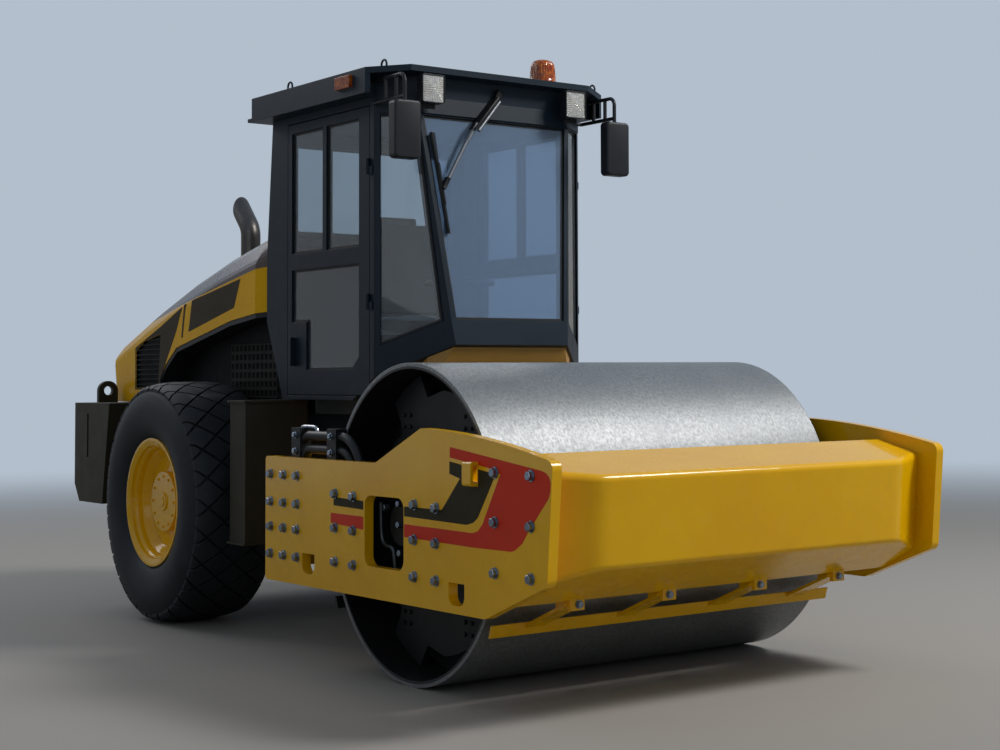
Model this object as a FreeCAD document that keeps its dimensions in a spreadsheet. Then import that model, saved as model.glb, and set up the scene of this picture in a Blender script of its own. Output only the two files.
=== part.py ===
# Single-drum vibratory road roller, in millimetres, as a parametric document.
# Front of the machine towards -Y, its right-hand side towards -X, ground at Z = 0.
# Sizes along Y are measured from the drum's axle. The last section moves every
# sub-part so that the origin lies under the middle of the whole machine.
import FreeCAD, Part
import Sketcher
import math
import os
from FreeCAD import Placement, Rotation, Vector

# Driving dimensions: name, value, what it is
SIZES = (
    ("drum_radius", 800, "outer radius of the drum"),
    ("drum_side_gap", 114, "gap between the drum's rim and the side plates"),
    ("drum_wall", 30, "thickness of the drum's shell"),
    ("drum_recess", 295, "depth from the drum's rim to its end disc"),
    ("drum_disc", 30, "thickness of each end disc"),
    ("drum_hub_radius", 190, "outer radius of the hub on each end disc"),
    ("drum_hub_reach", 15, "how far the hub stands out of the end disc"),
    ("drum_access_radius", 85, "radius of the access holes in the end discs"),
    ("drum_access_circle", 470, "radius of the circle of access holes"),
    ("journal_radius", 90, "radius of the shaft that carries the drum"),
    ("running_fit", 0.05, "radial clearance of a shaft in its bearing"),
    ("face_gap", 0.4, "gap between faces that move past each other"),
    ("carrier_thickness", 22, "thickness of the plate that carries the drum's shaft"),
    ("carrier_ear", 78, "radius of that plate's four ears"),
    ("lobe_plate_thickness", 28, "thickness of the lobed plates"),
    ("spacer_depth", 274, "gap between the lobed plates and the side plates"),
    ("motor_radius", 150, "radius of the drum motors' housings"),
    ("motor_reach", 120, "length of a motor housing's wide part"),
    ("motor_cap_radius", 104, "radius of a motor housing's cap"),
    ("motor_cap_reach", 90, "length of a motor housing's cap"),
    ("buffer_radius", 60, "radius of a rubber buffer"),
    ("buffer_circle", 585, "distance of the buffers from the axle"),
    ("buffer_angle", 60, "angle of the buffers from the horizontal"),
    ("plate_outer", 1229, "half of the width over the side plates"),
    ("plate_thickness", 50, "thickness of each side plate"),
    ("plate_front_top", 1470, "front top corner, ahead of the axle"),
    ("plate_front_low", 1424, "front lower corner, ahead of the axle"),
    ("plate_nose_low", 936, "front end of the bottom edge, ahead of the axle"),
    ("plate_front_top_z", 1160, "height of the front top corner"),
    ("plate_front_low_z", 625, "height of the front lower corner"),
    ("plate_bottom_z", 440, "height of the bottom edge"),
    ("plate_crest", 383, "rear end of the raised top edge, ahead of the axle"),
    ("plate_crest_z", 1286, "height of the top edge at its crest"),
    ("plate_crown_radius", 6000, "radius of the arched top edge"),
    ("plate_arm", 55, "where the rear arm begins, behind the axle"),
    ("plate_arm_z", 1106, "height of the rear arm's top edge"),
    ("plate_rear", 1250, "rear end of the side plates, behind the axle"),
    ("window_front", 223, "front side of the window, ahead of the axle"),
    ("window_rear", 157, "rear side of the window, behind the axle"),
    ("window_low_z", 595, "height of the window's lower side"),
    ("window_high_z", 944, "height of the window's upper side"),
    ("window_corner", 55, "corner radius of the window"),
    ("lash_hole_half", 68, "half width of the D-shaped holes"),
    ("lash_hole_height", 104, "height of the D-shaped holes"),
    ("lash_hole_corner", 48, "radius of the D-shaped holes' lower corners"),
    ("lash_front", 697, "middle of the front hole, ahead of the axle"),
    ("lash_front_z", 476, "bottom of the front hole"),
    ("lash_rear", 752, "middle of the rear hole, behind the axle"),
    ("lash_rear_z", 506, "bottom of the rear hole"),
    ("plate_corner", 22, "radius of the side plates' rear corners"),
    ("plate_nose_corner", 45, "radius of the side plates' front corners"),
    ("plate_waist_corner", 90, "radius where the arm meets the rising edge"),
    ("tie_y", 848, "middle of the tie-down strap, ahead of the axle"),
    ("tie_half", 36, "half width of the tie-down strap"),
    ("tie_low_z", 1032, "lower side of the tie-down strap"),
    ("tie_high_z", 1143, "upper side of the tie-down strap"),
    ("tie_reach", 42, "how far the strap stands out of the side plate"),
    ("tie_bar", 14, "thickness of the strap"),
    ("front_beam_top", 1443, "upper front edge, ahead of the axle"),
    ("front_beam_low", 1411, "lower front edge, ahead of the axle"),
    ("front_beam_back", 1068, "rear face, ahead of the axle"),
    ("front_beam_top_z", 1088, "height of the upper front edge"),
    ("front_beam_low_z", 676, "height of the lower front edge"),
    ("front_beam_crest_z", 1178, "height of the rear top edge"),
    ("front_beam_foot_z", 500, "height of the lowest edge"),
    ("front_beam_fold", 34, "radius of the folds along the front beam"),
    ("front_beam_end_fold", 200, "radius of the folds at the front beam's ends"),
    ("front_beam_taper", 239, "length of the sloped ends along the beam"),
    ("front_beam_corner", 110, "how far the ends slope back at the side plates"),
    ("rear_beam_front", 880, "front face of the rear beam, behind the axle"),
    ("rear_beam_low_z", 540, "height of the rear beam's bottom"),
    ("rear_beam_high_z", 1075, "height of the rear beam's top"),
    ("scraper_y", 742, "middle of the scraper bars from the axle"),
    ("scraper_overlap", 7, "how far the scraper bars pass the drum's rims"),
    ("scraper_low_z", 316, "lower edge of the scraper bars"),
    ("scraper_high_z", 376, "upper edge of the scraper bars"),
    ("scraper_bar", 16, "thickness of the scraper bars"),
    ("bracket_inner", 291, "middle of the inner scraper brackets"),
    ("bracket_inset", 235, "middle of the outer scraper brackets, inside the drum's rims"),
    ("bracket_width", 80, "width of a scraper bracket"),
    ("bracket_thickness", 24, "thickness of a scraper bracket"),
    ("bracket_web", 93, "depth of the web behind a bracket"),
    ("bracket_web_thickness", 12, "thickness of that web"),
    ("bracket_notch", 20, "radius of the notch in a bracket's side"),
    ("bracket_notch_rise", 72, "height of the notch above the bracket's lower end"),
    ("bracket_low_z", 458, "lower end of the scraper brackets"),
    ("bracket_rear", 985, "rear brackets, behind the axle"),
    ("scraper_arm", 16, "thickness of a scraper's sloped arm"),
    ("pivot_y", 1545, "articulation axis, behind the drum's axle"),
    ("pivot_z", 780, "height of the oscillation axis"),
    ("pivot_pin_radius", 55, "radius of the articulation pin"),
    ("yoke_radius", 115, "radius of the articulation yoke's barrel"),
    ("yoke_half_height", 150, "half height of the yoke's barrel"),
    ("yoke_neck_radius", 105, "radius of the yoke's oscillation shaft"),
    ("yoke_flange_radius", 190, "radius of the oscillation bearing"),
    ("yoke_flange", 70, "thickness of the oscillation bearing"),
    ("ear_thickness", 45, "thickness of the rear frame's ears"),
    ("ear_radius", 125, "radius of the rear frame's ears"),
    ("wheelbase", 3089, "distance from the drum's axle to the wheels' axle"),
    ("tyre_radius", 755, "outer radius of the tyres, loaded"),
    ("tyre_width", 587, "section width of the tyres"),
    ("tyre_outer", 1157, "outer side of the tyres from the middle"),
    ("tread_half", 238, "half width of the tread"),
    ("bead_radius", 372, "radius of the tyre's beads"),
    ("rim_flange_radius", 402, "outer radius of the rim's flanges"),
    ("rim_wall", 16, "thickness of the rim's barrel"),
    ("rim_disc_x", 985, "outer side of the wheel disc"),
    ("rim_disc", 24, "thickness of the wheel disc"),
    ("hub_radius", 188, "radius of the hub cover"),
    ("hub_face_x", 1033, "outer side of the hub cover"),
    ("hub_bore_depth", 180, "depth of the hub's bearing bore"),
    ("spindle_radius", 95, "radius of the axle's spindles"),
    ("axle_radius", 135, "radius of the rear axle's tube"),
    ("axle_half", 640, "half length of the axle's thick part"),
    ("differential_radius", 195, "radius of the axle's middle housing"),
    ("rail_middle", 430, "middle of each chassis rail from the centre"),
    ("rail_thickness", 40, "thickness of a chassis rail"),
    ("rail_front", 1760, "front end of the rails"),
    ("rail_low_z", 560, "height of the rails' lower edge"),
    ("rail_arch_z", 905, "height of the rails' edge above the axle"),
    ("rail_high_z", 1310, "height of the rails' upper edge"),
    ("deck_thickness", 26, "thickness of the chassis deck strips"),
    ("cross_thickness", 50, "thickness of the cross plates"),
    ("bay_panel", 8, "thickness of the engine bay's side panels"),
    ("arch_reach", 172, "how far the hood stands out over the engine bay's panels"),
    ("engine_half_width", 330, "half width of the engine block"),
    ("engine_low_z", 960, "bottom of the engine block"),
    ("engine_high_z", 1700, "top of the engine block"),
    ("weight_half", 1020, "half width of the counterweight"),
    ("weight_wheel_gap", 302, "gap between the tyres and the counterweight, at its bottom"),
    ("weight_undercut", 116, "how far the counterweight's front leans forward at its top"),
    ("weight_depth", 510, "depth of the counterweight at its bottom"),
    ("weight_low_z", 685, "bottom of the counterweight"),
    ("weight_high_z", 1368, "top of the counterweight"),
    ("lug_half", 68, "half width of a lifting lug"),
    ("lug_height", 150, "height of a lifting lug"),
    ("lug_thickness", 40, "thickness of a lifting lug"),
    ("lug_hole_radius", 32, "radius of a lifting lug's hole"),
    ("lug_gap", 24, "gap between the hood's side and a lifting lug"),
    ("lug_inset", 76, "lifting lugs ahead of the counterweight's rear"),
    ("tank_outer", 1000, "outer side of the tank boxes"),
    ("tank_inner", 600, "inner side of the tank boxes"),
    ("tank_wheel_gap", 142, "gap between a tank box and its tyre"),
    ("tank_depth", 205, "depth of the tank boxes"),
    ("tank_low_z", 550, "bottom of the tank boxes"),
    ("tank_high_z", 1399, "top of the tank boxes"),
    ("tank_flange", 14, "thickness and overhang of the tank's flanges"),
    ("weight_slot_inset", 241, "middle of the slots ahead of the counterweight's rear"),
    ("weight_slot_low_z", 994, "lower end of that slot"),
    ("weight_slot_high_z", 1293, "upper end of that slot"),
    ("hood_half", 720, "half width of the hood"),
    ("hood_slope", 120, "width of the hood's sloped shoulders"),
    ("hood_tuck", 60, "how far the hood's sides turn in at its front"),
    ("hood_tuck_reach", 100, "length of the stretch that turns in"),
    ("hood_rise", 188, "height of the hood's sloped shoulders, at the front"),
    ("hood_rise_rear", 150, "height of the hood's sloped shoulders, at the rear"),
    ("hood_ridge", 34, "how far the rounding of the hood's side ridge reaches"),
    ("hood_crown", 70, "how far the rounding of the hood's top ridge reaches"),
    ("hood_wall", 25, "thickness of the hood's panels"),
    ("hood_front", 2352, "front of the hood"),
    ("hood_rear_gap", 6, "foot of the hood's rear ahead of the counterweight's rear"),
    ("hood_rear_lean", 75, "how far the hood's rear face leans out"),
    ("hood_rear_high_z", 1800, "height where the hood's rear face ends"),
    ("hood_hinge_z", 1377, "height of the hood's hinge pins"),
    ("hood_hinge_reach", 20, "hinge pins of the hood behind the counterweight"),
    ("hood_hinge_x", 450, "inner side of the hood's hinges"),
    ("grille_low_z", 1469, "lower side of the side grilles"),
    ("grille_high_z", 1832, "height of that corner"),
    ("grille_bend_z", 1789, "height of that bend"),
    ("grille_rear_z", 1723, "height of the rear upper corner"),
    ("grille_pitch", 34, "distance between two slats"),
    ("grille_slat", 9, "thickness of a slat"),
    ("rear_grille_inset", 250, "ends of the rear grille from the hood's sides"),
    ("rear_grille_low_z", 1462, "lower side of the rear grille"),
    ("rear_grille_high_z", 1700, "upper side of the rear grille"),
    ("hood_front_z", 2255, "height of the shoulder line at the front"),
    ("hood_mid_z", 2011, "height of the shoulder line's middle point"),
    ("hood_rear_z", 1660, "height of the shoulder line at the rear"),
    ("hood_seat_gap", 0.5, "gap under the closed hood"),
    ("arch_front_z", 1940, "height of the hood's lower edge, at its front"),
    ("arch_crown_z", 1892, "height of that point"),
    ("arch_mid_z", 1796, "height of that point"),
    ("arch_bend_z", 1737, "height of that point"),
    ("arch_fall_z", 1625, "height of that point"),
    ("arch_foot_z", 1485, "height of that point"),
    ("arch_band", 30, "thickness of the wheel arch panels"),
    ("pipe_radius", 64, "outer radius of the exhaust pipe"),
    ("pipe_wall", 5, "wall of the exhaust pipe"),
    ("pipe_x", 300, "exhaust pipe from the centre, on the right"),
    ("pipe_bend", 130, "radius of the pipe's bend"),
    ("pipe_bend_z", 2484, "height where the pipe begins to bend"),
    ("pipe_reach", 140, "upright mouth of the pipe behind the pipe's foot"),
    ("cab_wall", 55, "thickness of the cab's posts and walls"),
    ("cab_setback", 20, "how far the cab's sides lie inside the hood's"),
    ("cab_floor_z", 1400, "height of the cab's underside"),
    ("cab_slope_y", 1250, "where the cab's underside begins to rise"),
    ("cab_chin", 671, "front lower edge of the cab"),
    ("cab_chin_z", 1705, "height of the cab's front lower edge"),
    ("cab_sill", 692, "lower edge of the windscreen"),
    ("cab_sill_z", 1844, "height of the windscreen's lower edge"),
    ("cab_brow", 845, "upper edge of the windscreen"),
    ("cab_brow_z", 3002, "height of the windscreen's upper edge"),
    ("cab_top_z", 3098, "height of the cab's walls"),
    ("cab_corner", 1010, "rear side of the angled front corner"),
    ("corner_width_low", 340, "width of the angled corner at its foot"),
    ("corner_depth_low", 368, "depth of the angled corner at its foot"),
    ("corner_width_high", 186, "width of the angled corner at its top"),
    ("corner_depth_high", 160, "depth of the angled corner at its top"),
    ("screen_post_low", 35, "width of the windscreen's post at its foot"),
    ("screen_post_high", 21, "width of the windscreen's post at its top"),
    ("corner_post_low", 21, "width of the corner pane's frame beside that post, at its foot"),
    ("corner_post_high", 8, "width of that frame at its top"),
    ("corner_sill_drop", 133, "how far the corner pane's lower edge falls towards the rear"),
    ("brow_low_z", 3006, "lower edge of the panel over the windscreen"),
    ("brow_depth", 8, "thickness of that panel"),
    ("cab_rear_top", 2255, "rear wall at its top"),
    ("cab_rear_mid", 2330, "rear wall at its middle"),
    ("cab_rear_mid_z", 2268, "height where the rear wall stands out most"),
    ("cab_rear_step_z", 1880, "height where the rear wall turns in"),
    ("cab_rear_low", 2115, "rear wall at its bottom"),
    ("door_front", 1062, "front edge of the doors"),
    ("door_rear", 2050, "rear edge of the doors"),
    ("door_low_z", 1430, "bottom edge of the doors"),
    ("door_high_z", 3050, "top edge of the doors"),
    ("door_gap", 6, "gap round a door"),
    ("door_frame", 45, "thickness of a door"),
    ("pane_front", 1180, "front edge of the door's panes"),
    ("pane_rear", 2000, "rear edge of the door's panes"),
    ("pane_mid", 1590, "middle of the bar between the upper panes"),
    ("pane_bar", 46, "width of the bars between the panes"),
    ("pane_low_z", 1575, "lower edge of the lower pane"),
    ("pane_waist_z", 2172, "upper edge of the lower pane"),
    ("pane_belt_z", 2270, "lower edge of the upper panes"),
    ("pane_high_z", 2995, "upper edge of the upper panes"),
    ("latch_y", 1812, "front side of the notch for the latch"),
    ("latch_z", 1860, "upper side of the notch for the latch"),
    ("glass_inset", 14, "how far the glass lies behind the outer faces"),
    ("glass", 6, "thickness of the glass"),
    ("roof_front", 764, "front edge of the roof"),
    ("roof_eaves", 110, "how far the roof stands out over the cab's sides"),
    ("roof_cut", 205, "width of the roof's cut corners"),
    ("roof_front_z", 3258, "height of the roof's front edge"),
    ("roof_visor", 35, "thickness of the roof's visor"),
    ("roof_skirt", 25, "thickness of the roof's side skirts ahead of the doors"),
    ("roof_corner", 914, "rear end of the roof's cut corners"),
    ("roof_rear", 2320, "rear edge of the roof"),
    ("roof_lip", 55, "reach of the roof's rear lip"),
    ("roof_high_z", 3240, "upper edge of the roof"),
    ("lamp_x", 485, "middle of the work lamps"),
    ("lamp_z", 3128, "height of the work lamps"),
    ("lamp_half", 73, "half width of a work lamp"),
    ("lamp_half_height", 80, "half height of a work lamp"),
    ("lamp_depth", 31, "how far the work lamps stand ahead of the roof"),
    ("lamp_housing", 50, "depth of a work lamp's housing"),
    ("lamp_corner", 14, "radius of a work lamp's corners"),
    ("beacon_x", 373, "beacon from the centre, on the left"),
    ("beacon_y", 908, "place of the beacon"),
    ("beacon_radius", 62, "radius of the beacon"),
    ("beacon_top_z", 3404, "top of the beacon"),
    ("beacon_taper", 10, "how much narrower the beacon is at its top"),
    ("beacon_foot", 24, "height of the beacon's foot"),
    ("beacon_crown", 20, "radius of the beacon's upper edge"),
    ("marker_y", 1140, "middle of the side marker lamps"),
    ("marker_z", 3180, "height of the side marker lamps"),
    ("marker_half", 84, "half length of a side marker lamp"),
    ("marker_half_height", 34, "half height of a side marker lamp"),
    ("marker_depth", 22, "depth of a side marker lamp"),
    ("ring_front", 876, "front lifting rings"),
    ("ring_front_inset", 98, "front lifting rings from the roof's sides"),
    ("ring_rear", 1868, "rear lifting rings"),
    ("ring_rear_inset", 30, "rear lifting rings from the roof's sides"),
    ("ring_radius", 28, "radius of a lifting ring"),
    ("ring_bar", 6, "half thickness of a lifting ring"),
    ("mirror_y", 652, "place of the mirrors"),
    ("mirror_offset", 12, "middle of the mirrors from the cab's sides"),
    ("mirror_z", 2872, "height of the mirrors"),
    ("mirror_half_width", 82, "half width of a mirror"),
    ("mirror_half_height", 160, "half height of a mirror"),
    ("mirror_depth", 55, "thickness of a mirror's shell"),
    ("mirror_arm", 11, "radius of a mirror's arm"),
    ("mirror_corner", 25, "radius of a mirror's corners"),
    ("mirror_loop_high", 3181, "upper bar of a mirror's bracket"),
    ("mirror_loop_low", 3058, "lower bar of a mirror's bracket"),
    ("mirror_loop_corner", 45, "radius of the bracket's outer corner"),
    ("mirror_rung", 745, "first rung of a mirror's bracket"),
    ("mirror_rung_rear", 860, "second rung of a mirror's bracket"),
    ("mirror_foot_y", 985, "rear end of the bracket's lower bar"),
    ("seat_y", 1640, "middle of the seat"),
    ("seat_half", 250, "half width of the seat"),
    ("seat_top_z", 1900, "height of the seat's cushion"),
    ("seat_foot_half", 180, "half width of the seat's foot"),
    ("seat_half_depth", 250, "half depth of the seat's cushion"),
    ("seat_cushion", 130, "thickness of the seat's cushion"),
    ("seat_back_y", 170, "front of the seat's back behind the seat's middle"),
    ("seat_back_foot", 120, "thickness of the seat's back at its foot"),
    ("seat_back_head", 100, "thickness of the seat's back at its top"),
    ("seat_back_lean", 100, "how far the seat's back leans"),
    ("seat_back_z", 2520, "top of the seat's back"),
    ("wheel_rim_radius", 190, "radius of the steering wheel"),
    ("wheel_rim_bar", 15, "half thickness of the steering wheel's rim"),
    ("wheel_y", 1235, "place of the steering wheel"),
    ("wheel_z", 2080, "height of the steering wheel"),
    ("base_half", 482, "half width of the cowl under the cab"),
    ("base_front_half", 378, "half width of the cowl's front edge"),
    ("base_drop", 95, "depth of the cowl under the cab"),
    ("cylinder_x", 330, "steering cylinders' front pins from the centre"),
    ("cylinder_rear_x", 290, "steering cylinders' rear pins from the centre"),
    ("cylinder_z", 690, "height of the steering cylinders"),
    ("cylinder_front", 1330, "front pins of the steering cylinders"),
    ("cylinder_rear", 2100, "rear pins of the steering cylinders"),
    ("barrel_radius", 42, "outer radius of a steering cylinder"),
    ("barrel_length", 450, "length of a steering cylinder's barrel"),
    ("barrel_neck", 60, "distance of the barrel from its pin"),
    ("rod_radius", 25, "radius of a steering cylinder's rod"),
    ("rod_length", 480, "length of a rod, from its inner end to its eye"),
    ("rod_fit", 0.3, "clearance of a rod in its barrel"),
    ("eye_radius_outer", 40, "outer radius of a cylinder's eyes"),
    ("eye_half", 27, "half height of a cylinder's eyes"),
    ("eye_pin_radius", 20, "radius of the cylinders' pins"),
    ("eye_plate", 22, "thickness of the plates beside the eyes"),
    ("eye_plate_gap", 32, "inner side of those plates from the eye's middle"),
    ("hose_radius", 24, "outer radius of a drum hose"),
    ("hose_pitch", 72, "distance between two hoses"),
    ("hose_z", 1150, "height of the lower hose on the arm"),
    ("hose_foot", 400, "front end of the lower hose"),
    ("hose_clamp_rear", 995, "middle of the hoses' rear clamp"),
    ("hose_clamp_front", 598, "middle of the hoses' front clamp"),
    ("hose_clamp_half", 49, "half width of a hose clamp"),
    ("hose_clamp_high_z", 1262, "top of the hose clamps"),
    ("hose_bend", 150, "radius of the lower hose's front bend"),
    ("hose_rear", 940, "rear end of the lower hose"),
    ("hose_rear_bend", 60, "radius of the lower hose's rear bend"),
    ("spacer_out", 125, "half width of the spacers behind the side plates"),
    ("spacer_front", 405, "middle of the front spacer, ahead of the axle"),
    ("spacer_rear", 382, "middle of the rear spacer, behind the axle"),
    ("spacer_low_z", 560, "bottom of the spacers"),
    ("spacer_high_z", 965, "top of the spacers"),
    ("hinge_radius", 12, "radius of a hinge's knuckles"),
    ("hinge_offset", 12.5, "hinge pins from the outer faces of the doors"),
    ("hinge_pin_radius", 7, "radius of a hinge's pin"),
    ("hinge_length", 90, "length of a hinge"),
)
# Places along Y measured from the wheels' axle: name, value, what it is
WHEEL_PLACES = (
    ("arch_crown_y", -276, "second point of the hood's lower edge"),
    ("arch_mid_y", 237, "third point of the hood's lower edge"),
    ("arch_bend_y", 546, "fourth point, where the edge bends down"),
    ("arch_fall_y", 724, "fifth point of the hood's lower edge"),
    ("arch_foot_y", 865, "sixth point of the hood's lower edge"),
    ("grille_high_front", 808, "front upper corner of the side grilles"),
    ("grille_front", 841, "front side of the side grilles, at their foot"),
    ("grille_bend", 1099, "where the side grilles' upper edge bends"),
    ("grille_rear", 1231, "rear side of the side grilles"),
    ("hood_mid_y", 471, "middle point of the shoulder line"),
    ("pipe_y", 311, "place of the exhaust pipe"),
    ("engine_front", -339, "front of the engine block"),
    ("engine_rear", 761, "rear of the engine block"),
)

doc = FreeCAD.newDocument("road_roller")
sheet = doc.addObject("Spreadsheet::Sheet", "Sizes")
for row, (name, value, meaning) in enumerate(SIZES + WHEEL_PLACES, start=1):
    sheet.set("A%d" % row, meaning)
    sheet.set("B%d" % row, str(value))
    sheet.setAlias("B%d" % row, name)
doc.recompute()


class Term:
    """A size that carries its value and the formula that binds it to the sheet."""

    def __init__(self, formula, value):
        self.formula = formula
        self.value = float(value)

    def joined(self, sign, other, value):
        return Term("(%s %s %s)" % (self.formula, sign, other.formula), value)

    def __add__(self, other):
        other = term(other)
        return self.joined("+", other, self.value + other.value)

    def __radd__(self, other):
        return term(other) + self

    def __sub__(self, other):
        other = term(other)
        return self.joined("-", other, self.value - other.value)

    def __rsub__(self, other):
        return term(other) - self

    def __mul__(self, other):
        other = term(other)
        return self.joined("*", other, self.value * other.value)

    def __rmul__(self, other):
        return term(other) * self

    def __truediv__(self, other):
        other = term(other)
        return self.joined("/", other, self.value / other.value)

    def __neg__(self):
        return Term("(0 - %s)" % self.formula, -self.value)


def term(number):
    """Take a plain number or a size as a size."""
    if isinstance(number, Term):
        return number
    return Term("(%r)" % float(number), number)


def cosine(degrees):
    return Term("cos(%s)" % term(degrees).formula, math.cos(math.radians(term(degrees).value)))


def sine(degrees):
    return Term("sin(%s)" % term(degrees).formula, math.sin(math.radians(term(degrees).value)))


class Sizes:
    """Every driving dimension, by its name in the sheet."""


size = Sizes()
for name, value, meaning in SIZES + WHEEL_PLACES:
    setattr(size, name, Term("Sizes.%s" % name, value))
for name, value, meaning in WHEEL_PLACES:
    setattr(size, name, size.wheelbase + getattr(size, name))

# Sizes that follow from a neighbour's and a named distance
plate_inner = size.plate_outer - size.plate_thickness
size.drum_half_width = plate_inner - size.drum_side_gap
size.lobe_plate_outer = plate_inner - size.spacer_depth
size.front_beam_half = plate_inner - size.front_beam_taper
size.scraper_half = size.drum_half_width + size.scraper_overlap
size.bracket_outer = size.drum_half_width - size.bracket_inset
size.bracket_front = size.front_beam_back
size.tank_rear = size.wheelbase - size.tyre_radius - size.tank_wheel_gap
size.tank_front = size.tank_rear - size.tank_depth
size.weight_front_low = size.wheelbase + size.tyre_radius + size.weight_wheel_gap
size.weight_front_high = size.weight_front_low - size.weight_undercut
size.weight_rear = size.weight_front_low + size.weight_depth
size.weight_slot_y = size.weight_rear - size.weight_slot_inset
size.lug_x = size.hood_half + size.lug_gap + size.lug_half
size.lug_y = size.weight_rear - size.lug_inset
size.hood_crest_half = size.hood_half - size.hood_slope
size.hood_rear_low = size.weight_rear - size.hood_rear_gap
size.hood_rear_high = size.hood_rear_low + size.hood_rear_lean
size.hood_hinge_y = size.weight_rear + size.hood_hinge_reach
size.rear_grille_half = size.hood_half - size.rear_grille_inset
size.bay_half = size.hood_half - size.arch_reach
size.cab_half = size.hood_half - size.cab_setback
size.roof_half = size.cab_half + size.roof_eaves
size.roof_front_half = size.roof_half - size.roof_cut
size.mirror_x = size.cab_half + size.mirror_offset

# Turns that lay a shape's own Z axis along X, Y or Z
ALONG = {
    "X": Rotation(Vector(1, 1, 1), 120),
    "Y": Rotation(Vector(-1, -1, -1), 120),
    "Z": Rotation(),
}
# A sketch's own X and Y axes lie along these axes of the machine
ACROSS = {"X": ("y", "z"), "Y": ("x", "z"), "Z": ("x", "y")}
SKETCH_TURN = {
    "X": Rotation(Vector(1, 1, 1), 120),
    "Y": Rotation(Vector(1, 0, 0), 90),
    "Z": Rotation(),
}
DIRECTION = {"X": Vector(1, 0, 0), "Y": Vector(0, 1, 0), "Z": Vector(0, 0, 1)}


def bind(thing, prop, value):
    thing.setExpression(prop, term(value).formula)


def place(thing, turn, **where):
    thing.Placement = Placement(Vector(), turn)
    for axis, value in where.items():
        bind(thing, "Placement.Base.%s" % axis, value)


def block(x, y, z):
    """A box between two places on each axis."""
    box = doc.addObject("Part::Box", "Block")
    bind(box, "Length", x[1] - x[0])
    bind(box, "Width", y[1] - y[0])
    bind(box, "Height", z[1] - z[0])
    place(box, Rotation(), x=x[0], y=y[0], z=z[0])
    return box


def rod(axis, radius, at, span):
    """A cylinder along an axis, at two cross coordinates, between two places."""
    bar = doc.addObject("Part::Cylinder", "Rod")
    bind(bar, "Radius", radius)
    bind(bar, "Height", term(span[1]) - span[0])
    where = dict(zip(ACROSS[axis], at))
    where[axis.lower()] = span[0]
    place(bar, ALONG[axis], **where)
    return bar


def rod_towards(axis, radius, at, one, other):
    """A cylinder along an axis between two places, given in any order."""
    return rod(axis, radius, at, sorted_span(one, other))


def ball(radius, x, y, z):
    sphere = doc.addObject("Part::Sphere", "Ball")
    bind(sphere, "Radius", radius)
    place(sphere, Rotation(), x=x, y=y, z=z)
    return sphere


def ring(axis, radius, bar, x, y, z):
    """A round bar bent to a ring about an axis."""
    torus = doc.addObject("Part::Torus", "Ring")
    bind(torus, "Radius1", radius)
    bind(torus, "Radius2", bar)
    place(torus, ALONG[axis], x=x, y=y, z=z)
    return torus


def draw(sketch, outline):
    """Draw a closed outline of (u, v) corners; (u, v, radius) starts an arc that bulges out."""
    count = len(outline)
    corners = [(term(point[0]), term(point[1])) for point in outline]
    first = sketch.GeometryCount
    spots = [Vector(u.value, v.value, 0) for u, v in corners]
    for index in range(count):
        start, end = spots[index], spots[(index + 1) % count]
        if len(outline[index]) == 3:
            radius = term(outline[index][2])
            chord = end - start
            middle = (start + end) * 0.5
            left = Vector(-chord.y, chord.x, 0).normalize()
            bulge = -1 if radius.value > 0 else 1
            reach = abs(radius.value)
            sagitta = reach - math.sqrt(reach ** 2 - chord.Length ** 2 / 4)
            through = middle + left * (bulge * sagitta)
            sketch.addGeometry(Part.Arc(start, through, end), False)
        else:
            sketch.addGeometry(Part.LineSegment(start, end), False)
    for index in range(count):
        following = first + (index + 1) % count
        edge = first + index
        end_point, start_point = line_ends(sketch, edge, spots[index])[1], None
        start_point = line_ends(sketch, following, spots[(index + 1) % count])[0]
        sketch.addConstraint(Sketcher.Constraint("Coincident", edge, end_point, following, start_point))
    for index in range(count):
        edge = first + index
        start_point = line_ends(sketch, edge, spots[index])[0]
        for kind, coordinate in (("DistanceX", corners[index][0]), ("DistanceY", corners[index][1])):
            fixed = Sketcher.Constraint(kind, -1, 1, edge, start_point, coordinate.value)
            pin(sketch, fixed, coordinate)
        if len(outline[index]) == 3:
            radius = term(outline[index][2])
            curved = Sketcher.Constraint("Radius", edge, abs(radius.value))
            pin(sketch, curved, radius if radius.value > 0 else -radius)


def line_ends(sketch, edge, start):
    """Which of an edge's two end points, 1 or 2, lies at its start in the outline."""
    if (sketch.getPoint(edge, 1) - start).Length < 1e-6:
        return 1, 2
    return 2, 1


def pin(sketch, constraint, value):
    index = sketch.addConstraint(constraint)
    label = "pin%d" % index
    sketch.renameConstraint(index, label)
    bind(sketch, "Constraints.%s" % label, value)


def sketch_for(axis, outlines, level):
    sketch = doc.addObject("Sketcher::SketchObject", "Outline")
    for outline in outlines:
        draw(sketch, outline)
    place(sketch, SKETCH_TURN[axis], **{axis.lower(): level})
    return sketch


def prism(axis, outline, span, *holes):
    """An outline in the plane across an axis, carried from one place to another."""
    low, high = term(span[0]), term(span[1])
    sketch = sketch_for(axis, (outline,) + holes, low)
    solid = doc.addObject("Part::Extrusion", "Prism")
    solid.Base = sketch
    solid.DirMode = "Custom"
    solid.Dir = DIRECTION[axis]
    solid.Solid = True
    bind(solid, "LengthFwd", high - low)
    return solid


def ruled_wedge(low_outline, low, high_outline, high):
    """A solid between an outline at one height and a like outline at another."""
    wedge = doc.addObject("Part::Loft", "Wedge")
    wedge.Sections = [sketch_for("Z", [low_outline], low), sketch_for("Z", [high_outline], high)]
    wedge.Solid = True
    wedge.Ruled = True
    return wedge


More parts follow.
